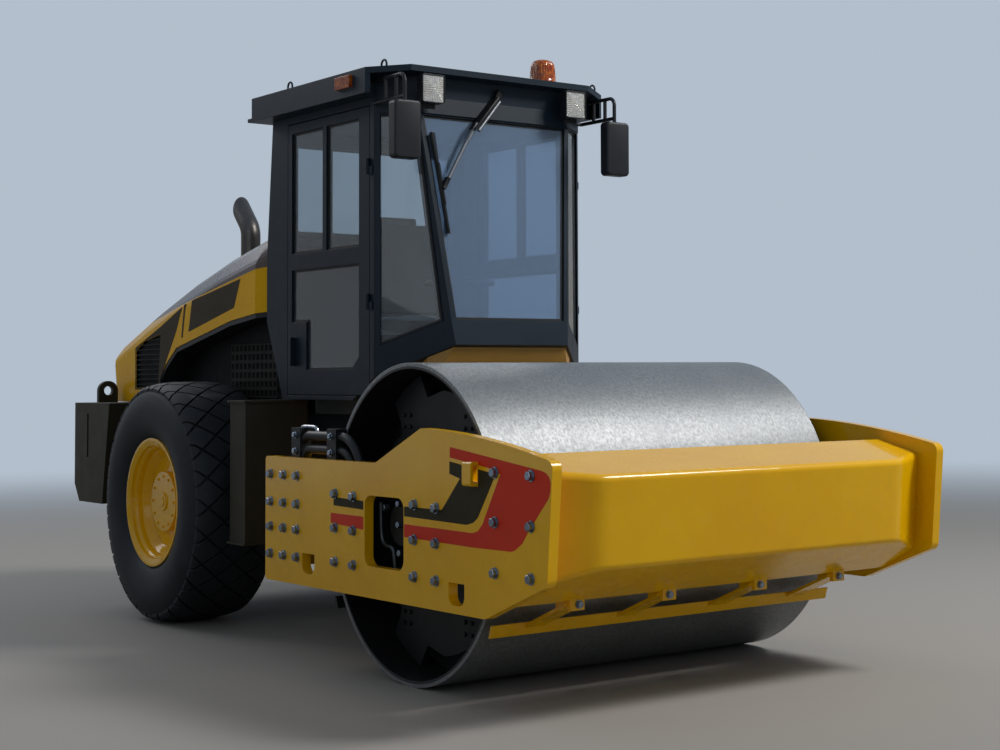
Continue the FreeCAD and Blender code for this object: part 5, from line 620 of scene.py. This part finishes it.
# Vent plates of the engine bay: 3 mm sheet steel punched with rows of square holes, screwed to
# the bay's sides behind the cab, in a dark olive-grey enamel.
VENT_X = 562
VENT_PLACE = (2470, 3130, 1404, 1750)
VENT_PITCH = (58, 54)
VENT_BRIDGE = 0.0105
vents = bmesh.new()
vent_low, vent_high = spot(0, VENT_PLACE[0], VENT_PLACE[2]), spot(0, VENT_PLACE[1], VENT_PLACE[3])
for side in (-1, 1):
    columns = int((VENT_PLACE[1] - VENT_PLACE[0]) / VENT_PITCH[0])
    rows = int((VENT_PLACE[3] - VENT_PLACE[2]) / VENT_PITCH[1])
    middle = (vent_low + vent_high) / 2
    half = (vent_high - vent_low) / 2
    turned = Matrix(((0, 0, side, side * VENT_X / 1000), (half.y, 0, 0, middle.y), (0, half.z, 0, middle.z),
                     (0, 0, 0, 1)))
    sheet = bmesh.new()
    bmesh.ops.create_grid(sheet, x_segments=columns, y_segments=rows, size=1, matrix=turned)
    cells = sheet.faces[:]
    bmesh.ops.inset_individual(sheet, faces=cells, thickness=VENT_BRIDGE, use_even_offset=True)
    bmesh.ops.delete(sheet, geom=cells, context="FACES")
    bmesh.ops.recalc_face_normals(sheet, faces=sheet.faces)
    bmesh.ops.solidify(sheet, geom=sheet.faces[:], thickness=0.003)
    sheet_mesh = bpy.data.meshes.new("sheet")
    sheet.to_mesh(sheet_mesh)
    sheet.free()
    vents.from_mesh(sheet_mesh)
    bpy.data.meshes.remove(sheet_mesh)
vent_enamel = enamel("olive_grey_vent_enamel", "#201F1A", "#191814", 0.5, coat=0.0, shine=0.12)
make_piece("bay_vent_plates", vents, "rear_frame", "chassis_paint", vent_enamel, smooth=math.radians(20))

# Seals of the panes: extruded black rubber that holds each pane in its opening all the way
# round, standing a few millimetres proud of the glass.
SEAL_WIDTH = 0.013
SEAL_PROUD = 0.004
SEALS = (
    # body, node of the glass, directions in which its panes look
    ("rear_frame", "windscreen", ((0, -1, 0),)),
    ("rear_frame", "cab_panes", ((-0.7, -0.7, 0), (0.7, -0.7, 0), (0, 1, 0))),
    ("right_door", "door_glass_right", ((-1, 0, 0),)),
    ("left_door", "door_glass_left", ((1, 0, 0),)),
)
for body, glass, directions in SEALS:
    seal = bmesh.new()
    for direction in directions:
        outlook = Vector(direction).normalized()
        pane = bmesh.new()
        pane.from_mesh(nodes[glass].data)
        bmesh.ops.remove_doubles(pane, verts=pane.verts, dist=1e-5)
        away = [face for face in pane.faces if face.normal.dot(outlook) < 0.8]
        bmesh.ops.delete(pane, geom=away, context="FACES")
        bmesh.ops.dissolve_limit(pane, angle_limit=math.radians(3), verts=pane.verts, edges=pane.edges)
        middles = pane.faces[:]
        bmesh.ops.inset_region(pane, faces=middles, thickness=SEAL_WIDTH, use_boundary=True, use_even_offset=True)
        bmesh.ops.delete(pane, geom=middles, context="FACES")
        raised = bmesh.ops.extrude_face_region(pane, geom=pane.faces[:], use_keep_orig=True)
        tops = [thing for thing in raised["geom"] if isinstance(thing, bmesh.types.BMVert)]
        bmesh.ops.translate(pane, verts=tops, vec=outlook * SEAL_PROUD)
        pane_mesh = bpy.data.meshes.new("pane")
        pane.to_mesh(pane_mesh)
        pane.free()
        seal.from_mesh(pane_mesh)
        bpy.data.meshes.remove(pane_mesh)
    make_piece("seal_of_" + glass, seal, body, "rubber", hose_rubber)


def bar(shape, start, end, width, depth=None, taper=1.0):
    """A straight bar of rectangular section between two places, narrower at its end by a share."""
    run = end - start
    aim = Matrix.Translation(start + run / 2) @ run.to_track_quat("Z", "X").to_matrix().to_4x4()
    made = bmesh.ops.create_cube(shape, size=1.0, matrix=Matrix.Identity(4))
    for vert in made["verts"]:
        share = taper if vert.co.z > 0 else 1.0
        vert.co = aim @ Vector((vert.co.x * (depth or width) * share, vert.co.y * width * share, vert.co.z * run.length))
    return made["verts"]


def stick(shape, start, end, radius, sides=12):
    """A round bar between two places."""
    run = end - start
    aim = Matrix.Translation(start + run / 2) @ run.to_track_quat("Z", "X").to_matrix().to_4x4()
    bmesh.ops.create_cone(shape, cap_ends=True, segments=sides, radius1=radius, radius2=radius, depth=run.length,
                          matrix=aim)


# Wiper: a motor cover under the visor, a two-part arm with its spring housing and bright rod,
# and a rubber blade that parks along the windscreen's right-hand post.
WIPER_FOOT = spot(-8, 838, 3132)
WIPER_JOINT = spot(-195, 792, 2925)
WIPER_ELBOW = spot(-380, 768, 2610)
BLADE_HIGH = spot(-435, 826, 2897)
BLADE_LOW = spot(-370, 752, 2328)
wiper_arm = bmesh.new()
bar(wiper_arm, WIPER_FOOT, WIPER_JOINT, 0.076, 0.022, taper=0.70)
bar(wiper_arm, WIPER_FOOT + Vector((0.028, 0.012, 0.04)), WIPER_FOOT + Vector((-0.02, 0.012, -0.05)), 0.055, 0.035)
bmesh.ops.bevel(wiper_arm, geom=wiper_arm.edges[:], offset=0.005, segments=2, profile=0.5, affect="EDGES",
                material=-1)
make_piece("wiper_arm_housing", wiper_arm, "rear_frame", "plastic", hose_rubber)
wiper_rod = bmesh.new()
stick(wiper_rod, WIPER_JOINT, WIPER_ELBOW, 0.011)
bar(wiper_rod, WIPER_JOINT + Vector((0.028, -0.004, 0.045)), WIPER_JOINT + Vector((-0.034, -0.008, -0.06)), 0.020, 0.012)
stick(wiper_rod, WIPER_FOOT + Vector((0.02, -0.016, -0.02)), WIPER_JOINT + Vector((0.034, -0.016, 0.0)), 0.010)
wiper_metal = plating("brushed_wiper_steel", "#84878B", "#66696D", 0.48)
make_piece("wiper_rod", wiper_rod, "rear_frame", "rod_chrome", wiper_metal)
wiper_blade = bmesh.new()
blade_run = BLADE_LOW - BLADE_HIGH
bar(wiper_blade, BLADE_HIGH, BLADE_LOW, 0.034, 0.012, taper=0.8)
bar(wiper_blade, BLADE_HIGH, BLADE_HIGH + blade_run * 0.36, 0.058, 0.016, taper=0.6)
bar(wiper_blade, BLADE_HIGH + Vector((0, 0.014, 0)), BLADE_LOW + Vector((0, 0.014, 0)), 0.008, 0.016)
bar(wiper_blade, BLADE_HIGH + blade_run * 0.30 - Vector((0, 0.012, 0)),
    BLADE_HIGH + blade_run * 0.72 - Vector((0, 0.012, 0)), 0.026, 0.012, taper=0.7)
bar(wiper_blade, WIPER_ELBOW + Vector((0.01, 0, 0.03)), WIPER_ELBOW + Vector((-0.02, 0, -0.03)), 0.030, 0.022)
bmesh.ops.bevel(wiper_blade, geom=wiper_blade.edges[:], offset=0.0025, segments=2, profile=0.5, affect="EDGES",
                material=-1)
make_piece("wiper_blade", wiper_blade, "rear_frame", "rubber", hose_rubber)


def rounded_plate(half_width, half_height, corner, depth, middle, rim=0.0, edge=0.0):
    """A plate that faces the machine's front, with round corners; a frame if it has a rim width."""
    shape = bmesh.new()
    corners = [shape.verts.new((x * half_width, 0, z * half_height)) for x, z in ((-1, -1), (1, -1), (1, 1), (-1, 1))]
    shape.faces.new(corners)
    bmesh.ops.bevel(shape, geom=shape.verts[:], offset=corner, segments=5, profile=0.5, affect="VERTICES",
                    material=-1)
    if rim:
        whole = shape.faces[:]
        bmesh.ops.inset_region(shape, faces=whole, thickness=rim, use_boundary=True, use_even_offset=True)
        bmesh.ops.delete(shape, geom=whole, context="FACES")
    grown = bmesh.ops.extrude_face_region(shape, geom=shape.faces[:], use_keep_orig=True)
    front = [thing for thing in grown["geom"] if isinstance(thing, bmesh.types.BMVert)]
    bmesh.ops.translate(shape, verts=front, vec=(0, -depth, 0))
    if edge:
        ahead = set(front)
        lips = [lip for lip in shape.edges if lip.verts[0] in ahead and lip.verts[1] in ahead
                and len(lip.link_faces) == 2 and lip.calc_face_angle(0) > 1]
        bmesh.ops.bevel(shape, geom=lips, offset=edge, segments=4, profile=0.5, affect="EDGES", material=-1)
    bmesh.ops.translate(shape, verts=shape.verts, vec=middle)
    return shape


def gather(into, part):
    """Adds one mesh in the making to another."""
    passing = bpy.data.meshes.new("passing")
    part.to_mesh(passing)
    part.free()
    into.from_mesh(passing)
    bpy.data.meshes.remove(passing)


# Work lamps: a moulded housing with a raised frame, and behind it a pressed glass lens with
# upright ribs over a silvered reflector.
LAMP_X = 0.485
LAMP_HALF = (0.073, 0.080)
LAMP_FACE = spot(0, 733, 3128)
LENS_RIB = 0.0105
lamp_frames = bmesh.new()
lamp_lenses = bmesh.new()
lamp_stays = bmesh.new()
for side in (-1, 1):
    middle = LAMP_FACE + Vector((side * LAMP_X, 0, 0))
    gather(lamp_frames, rounded_plate(LAMP_HALF[0], LAMP_HALF[1], 0.014, 0.010, middle, rim=0.006, edge=0.002))
    lens_sheet = bmesh.new()
    bmesh.ops.create_grid(lens_sheet, x_segments=56, y_segments=56, size=1)
    for vert in lens_sheet.verts:
        across, up = vert.co.x, vert.co.y
        along_ribs = up if abs(across) > abs(up) else across
        rib = 0.0013 * math.cos(math.tau * along_ribs * 0.064 / LENS_RIB)
        swell = 0.013 * (1 - max(abs(across), abs(up)))
        vert.co = middle + Vector((across * 0.0675, -0.003 + rib - swell, up * 0.0745))
    bmesh.ops.recalc_face_normals(lens_sheet, faces=lens_sheet.faces)
    bmesh.ops.solidify(lens_sheet, geom=lens_sheet.faces[:], thickness=0.002)
    gather(lamp_lenses, lens_sheet)
    foot = middle + Vector((0, 0.055, -0.09))
    bar(lamp_stays, foot + Vector((-0.045, 0, 0)), foot + Vector((0.045, 0, 0)), 0.006, 0.030)
    bar(lamp_stays, foot + Vector((0, 0, 0.0)), foot + Vector((0, 0.05, 0.03)), 0.026, 0.006)
    stick(lamp_stays, foot + Vector((0, 0, -0.016)), foot + Vector((0, 0, 0.012)), 0.009, sides=6)
make_piece("work_lamp_frames", lamp_frames, "rear_frame", "plastic", moulded)
make_piece("work_lamp_stays", lamp_stays, "rear_frame", "chassis_paint", black_enamel)
dress(moulded, "work_lamps")
lens, tree, shader, place, edges = start_finish("pressed_lamp_glass", 0.001)
# The lens is drawn opaque in the reflector's silver, clouded between grey and near white as painted glints of its
# facets
painted_facet_glints = add(tree, "TexNoise", {"Vector": place, "Scale": 60.0, "Detail": 1.0})
shade = add(tree, "Mix", {0: painted_facet_glints.outputs["Fac"], 6: linear("#8B8883"), 7: linear("#EFEDE6")}, data_type="RGBA")
tree.links.new(shade.outputs[2], shader.inputs["Base Color"])
shader.inputs["Roughness"].default_value = 0.10
shader.inputs["Metallic"].default_value = 0.35
shader.inputs["Coat Weight"].default_value = 0.6
make_piece("work_lamp_lenses", lamp_lenses, "rear_frame", "lens", lens, smooth=math.radians(60))

# Beacon and side markers: amber acrylic. The beacon's dome is moulded with upright ribs inside
# and stands on a black rubber foot ring.
amber, tree, shader, place, edges = start_finish("amber_acrylic", 0.003)
swirl = add(tree, "TexNoise", {"Vector": place, "Scale": 42.0, "Detail": 3.0, "Distortion": 0.6})
spread = add(tree, "MapRange", {"Value": swirl.outputs["Fac"], "From Min": 0.38, "From Max": 0.62})
shade = add(tree, "Mix", {0: spread.outputs[0], 6: linear("#923804"), 7: linear("#D8741A")}, data_type="RGBA")
tree.links.new(shade.outputs[2], shader.inputs["Base Color"])
tree.links.new(edges, shader.inputs["Normal"])
shader.inputs["Roughness"].default_value = 0.10
shader.inputs["Transmission Weight"].default_value = 0.25
dress(amber, "amber_lamps")
BEACON = spot(373, 908, 3240)
beacon_foot = bmesh.new()
bmesh.ops.create_cone(beacon_foot, cap_ends=True, segments=48, radius1=0.088, radius2=0.084, depth=0.022,
                      matrix=Matrix.Translation(BEACON + Vector((0, 0, 0.011))))
bmesh.ops.bevel(beacon_foot, geom=beacon_foot.edges[:], offset=0.004, segments=2, profile=0.5, affect="EDGES",
                material=-1)
make_piece("beacon_foot_ring", beacon_foot, "rear_frame", "rubber", hose_rubber)
DOME = ((0.080, 0.022), (0.081, 0.034), (0.077, 0.040), (0.0755, 0.060), (0.073, 0.090), (0.070, 0.122), (0.066, 0.142),
        (0.057, 0.155), (0.040, 0.162), (0.0, 0.164))
DOME_RIBS = 30
dome = bmesh.new()
line = [dome.verts.new((radius, 0, height)) for radius, height in DOME]
runs = [dome.edges.new(pair) for pair in zip(line, line[1:])]
bmesh.ops.spin(dome, geom=line + runs, cent=(0, 0, 0), axis=(0, 0, 1), angle=math.tau, steps=DOME_RIBS * 4, use_merge=True)
bmesh.ops.remove_doubles(dome, verts=dome.verts, dist=1e-5)
for vert in dome.verts:
    if 0.040 < vert.co.z < 0.155:
        share = 1 + 0.022 * math.cos(DOME_RIBS * math.atan2(vert.co.y, vert.co.x))
        vert.co = Vector((vert.co.x * share, vert.co.y * share, vert.co.z))
rim_edges = [edge for edge in dome.edges if edge.is_boundary]
bmesh.ops.contextual_create(dome, geom=rim_edges)
bmesh.ops.translate(dome, verts=dome.verts, vec=BEACON)
make_piece("beacon_dome", dome, "rear_frame", "amber", amber)

# Mirrors: a crowned moulded cover over each shell, and the silvered glass behind it.
MIRROR = spot(712, 652 - 27.5, 2872)
MIRROR_REAR = spot(712, 652 + 27.5, 2872)
mirror_covers = bmesh.new()
mirror_glasses = bmesh.new()
for side in (-1, 1):
    gather(mirror_covers, rounded_plate(0.0815, 0.1595, 0.025, 0.014,
                                        Vector((side * MIRROR.x, MIRROR.y, MIRROR.z)), edge=0.012))
    pane = rounded_plate(0.073, 0.150, 0.020, 0.003, Vector((0, 0, 0)))
    bmesh.ops.rotate(pane, verts=pane.verts, cent=(0, 0, 0), matrix=Matrix.Rotation(math.pi, 3, "Z"))
    bmesh.ops.translate(pane, verts=pane.verts, vec=(side * MIRROR_REAR.x, MIRROR_REAR.y, MIRROR_REAR.z))
    gather(mirror_glasses, pane)
make_piece("mirror_covers", mirror_covers, "rear_frame", "plastic", moulded, smooth=math.radians(50))
mirror_silver = plating("silvered_mirror_glass", "#E6E9EC", "#DDE1E5", 0.02)
make_piece("mirror_glasses", mirror_glasses, "rear_frame", "lens", mirror_silver)

# Scraper bolts: one zinc bolt through the foot of each scraper bracket.
scraper_bolts = bmesh.new()
for x, z in ((-823, 486), (-294, 485), (286, 484), (830, 484)):
    add_bolt(scraper_bolts, spot(x, -1092, z), Vector((0, -1, 0)), radius=0.016, head=0.012, turn=0.4)
for x in (-830, -291, 291, 830):
    add_bolt(scraper_bolts, spot(x, 1009, 484), Vector((0, 1, 0)), radius=0.016, head=0.012, turn=0.1)
make_piece("scraper_bolts", scraper_bolts, "front_frame", "rod_chrome", zinc, smooth=math.radians(25))

# Hose clamps: two bolts through each clamp.
CLAMP_X = 1179
clamp_bolts = bmesh.new()
for side in (-1,):
    for y in (995, 598):
        for z in (1224, 1138):
            add_bolt(clamp_bolts, spot(side * CLAMP_X, y, z), Vector((side, 0, 0)), radius=0.015, head=0.011,
                     turn=0.3)
make_piece("hose_clamp_bolts", clamp_bolts, "front_frame", "rod_chrome", zinc, smooth=math.radians(25))


def bent_tube(shape, points, radius, around=3):
    """A tube along the smooth curve that a row of points controls."""
    route = bpy.data.curves.new("route", "CURVE")
    route.dimensions = "3D"
    line = route.splines.new("NURBS")
    line.points.add(len(points) - 1)
    for point, place in zip(line.points, points):
        point.co = (*place, 1)
    line.order_u = 3
    line.use_endpoint_u = True
    line.resolution_u = 8
    route.bevel_depth = radius
    route.bevel_resolution = around
    route.use_fill_caps = True
    carrier = bpy.data.objects.new("route", route)
    bpy.context.scene.collection.objects.link(carrier)
    bpy.context.view_layer.update()
    tube = bpy.data.meshes.new_from_object(carrier.evaluated_get(bpy.context.evaluated_depsgraph_get()))
    shape.from_mesh(tube)
    bpy.data.meshes.remove(tube)
    bpy.data.objects.remove(carrier)
    bpy.data.curves.remove(route)


# Drive line behind the side plate's window: a steel pipe with two elbows and its hexagon
# fittings on the drum motor, and a bright pipe over the hose clamps.
window_pipe = bmesh.new()
bent_tube(window_pipe, [spot(-1140, 150, 905), spot(-1140, 148, 800), spot(-1140, 140, 720), spot(-1140, 100, 690),
                        spot(-1140, 40, 690), spot(-1138, 20, 660), spot(-1135, 15, 560)], 0.010)
make_piece("drive_pipe", window_pipe, "front_frame", "rod_chrome", plating("dull_steel_pipe", "#55585C", "#3B3E42", 0.4))
clamp_pipe = bmesh.new()
bent_tube(clamp_pipe, [spot(-1134, 1020, 1240), spot(-1134, 1010, 1262), spot(-1134, 985, 1266), spot(-1134, 900, 1266),
                       spot(-1134, 850, 1264), spot(-1134, 835, 1250), spot(-1134, 830, 1215)], 0.011)
make_piece("clamp_pipe", clamp_pipe, "front_frame", "rod_chrome", plating("bent_steel_pipe", "#A5A9AE", "#7E8287", 0.25))
fittings = bmesh.new()
for y, z in ((-17, 905), (-17, 801), (-30, 663), (120, 880)):
    add_bolt(fittings, spot(-1116, y, z), Vector((-1, 0, 0)), radius=0.017, head=0.030, washer=False, turn=0.3)
make_piece("drive_fittings", fittings, "front_frame", "rod_chrome", zinc, smooth=math.radians(25))

# Seat: a sprung operator's seat. Foam cushions in dark woven cloth with sewn channels stand on
# a rubber bellows between a foot and a top block in the same rubber.
seat_cloth, tree, shader, place, edges = start_finish("woven_seat_cloth", 0.002)
tone = add(tree, "TexNoise", {"Vector": place, "Scale": 8.0, "Detail": 4.0})
# Threads of 2 mm, drawn at 4 mm so that they show
threads = add(tree, "TexWave", {"Vector": place, "Scale": 40.0, "Distortion": 0.5}, bands_direction="X")
weft = add(tree, "TexWave", {"Vector": place, "Scale": 40.0, "Distortion": 0.5}, bands_direction="Z")
weave = add(tree, "Math", {0: threads.outputs["Fac"], 1: weft.outputs["Fac"]}, operation="MULTIPLY")
shade = add(tree, "Mix", {0: tone.outputs["Fac"], 6: linear("#23262B"), 7: linear("#34383E")}, data_type="RGBA")
bump = add(tree, "Bump", {"Height": weave.outputs[0], "Strength": 0.4, "Distance": 0.001, "Normal": edges})
tree.links.new(shade.outputs[2], shader.inputs["Base Color"])
tree.links.new(bump.outputs[0], shader.inputs["Normal"])
shader.inputs["Roughness"].default_value = 0.85
shader.inputs["Sheen Weight"].default_value = 0.3
CUSHIONS = (
    # name, middle, half width, half depth, half thickness, lean in degrees
    ("seat_cushion", (0, 1625, 1845), 0.245, 0.235, 0.058, 4),
    ("seat_backrest", (0, 1915, 2200), 0.240, 0.285, 0.052, 80),
    ("seat_headrest", (0, 1972, 2480), 0.130, 0.040, 0.045, 80),
)
for name, middle, half_width, half_depth, half_thick, lean in CUSHIONS:
    pad = bmesh.new()
    bmesh.ops.create_cube(pad, size=2.0)
    bmesh.ops.subdivide_edges(pad, edges=pad.edges[:], cuts=7, use_grid_fill=True)
    for vert in pad.verts:
        u, v, w = vert.co
        crowned = (1 - u ** 4) * (1 - v ** 4)
        pulled = 1 - 0.05 * (1 - w * w) - 0.03 * (1 - u * u)
        groove = sum(math.exp(-((u - at) / 0.06) ** 2) for at in (-0.5, 0.5)) * (w > 0) * (1 - v ** 6)
        vert.co = Vector((u * half_width * pulled, v * half_depth * (1 - 0.05 * (1 - w * w)),
                          w * half_thick * (0.55 + 0.45 * crowned) - groove * half_thick * 0.28))
    bmesh.ops.rotate(pad, verts=pad.verts, cent=(0, 0, 0), matrix=Matrix.Rotation(math.radians(lean), 3, "X"))
    bmesh.ops.translate(pad, verts=pad.verts, vec=spot(*middle))
    cushion = make_piece(name, pad, "rear_frame", "seat_cloth", seat_cloth, smooth=math.pi)
    rounding = cushion.modifiers.new("rounding", "SUBSURF")
    rounding.levels = rounding.render_levels = 2
pedestal = bmesh.new()
for low, high, half in ((1456, 1500, 0.175), (1700, 1775, 0.190)):
    bar(pedestal, spot(0, 1640, low), spot(0, 1640, high), 2 * half, 2 * half)
bmesh.ops.bevel(pedestal, geom=pedestal.edges[:], offset=0.012, segments=3, profile=0.5, affect="EDGES",
                material=-1)
for fold in range(5):
    for start, end, one, other in ((0, 20, 0.235, 0.205), (20, 40, 0.205, 0.235)):
        low, high = 1500 + fold * 40 + start, 1500 + fold * 40 + end
        bmesh.ops.create_cone(pedestal, cap_ends=False, segments=4, radius1=one, radius2=other, depth=0.020,
                              matrix=Matrix.Translation(spot(0, 1640, (low + high) / 2)) @ Matrix.Rotation(math.pi / 4, 4, "Z"))
seat_foot = make_piece("seat_bellows", pedestal, "rear_frame", "rubber", hose_rubber)
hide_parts("seat")
dress(moulded, "seat")
dress(black_enamel, "engine_block")

# Tail lamps: a red and an amber lens in a moulded housing on each rear corner of the
# counterweight, and a filler cap with its collar on the left tank box.
REAR_FACE = spot(0, 4688, 1235)
tail_housings = bmesh.new()
tail_red = bmesh.new()
tail_amber = bmesh.new()
for side in (-1, 1):
    turned = Matrix.Rotation(math.pi, 3, "Z")
    for into, half_width, shift, depth, corner, edge in ((tail_housings, 0.115, 0, 0.022, 0.012, 0.004),
                                                         (tail_red, 0.050, -0.054, 0.030, 0.008, 0.006),
                                                         (tail_amber, 0.050, 0.054, 0.030, 0.008, 0.006)):
        plate = rounded_plate(half_width, 0.055 if into is tail_housings else 0.045, corner, depth, Vector(), edge=edge)
        bmesh.ops.rotate(plate, verts=plate.verts, cent=(0, 0, 0), matrix=turned)
        bmesh.ops.translate(plate, verts=plate.verts, vec=REAR_FACE + Vector((side * (0.86 - shift), 0, 0)))
        gather(into, plate)
make_piece("tail_lamp_housings", tail_housings, "rear_frame", "plastic", moulded)
make_piece("tail_lamps_amber", tail_amber, "rear_frame", "amber", amber)
red_acrylic, tree, shader, place, edges = start_finish("red_acrylic", 0.003)
cells = add(tree, "TexVoronoi", {"Vector": place, "Scale": 110.0})
shade = add(tree, "Mix", {0: cells.outputs["Distance"], 6: linear("#B3120E"), 7: linear("#6E0805")}, data_type="RGBA")
tree.links.new(shade.outputs[2], shader.inputs["Base Color"])
tree.links.new(edges, shader.inputs["Normal"])
shader.inputs["Roughness"].default_value = 0.12
make_piece("tail_lamps_red", tail_red, "rear_frame", "lens", red_acrylic)
caps = bmesh.new()
for side in (1,):
    foot = spot(side * 820, 2090, 1399)
    for low, high, radius, sides in ((0, 0.018, 0.052, 32), (0.018, 0.048, 0.045, 16)):
        bmesh.ops.create_cone(caps, cap_ends=True, segments=sides, radius1=radius, radius2=radius * 0.94,
                              depth=high - low, matrix=Matrix.Translation(foot + Vector((0, 0, (low + high) / 2))))
make_piece("filler_cap", caps, "rear_frame", "plastic", moulded, smooth=math.radians(30))
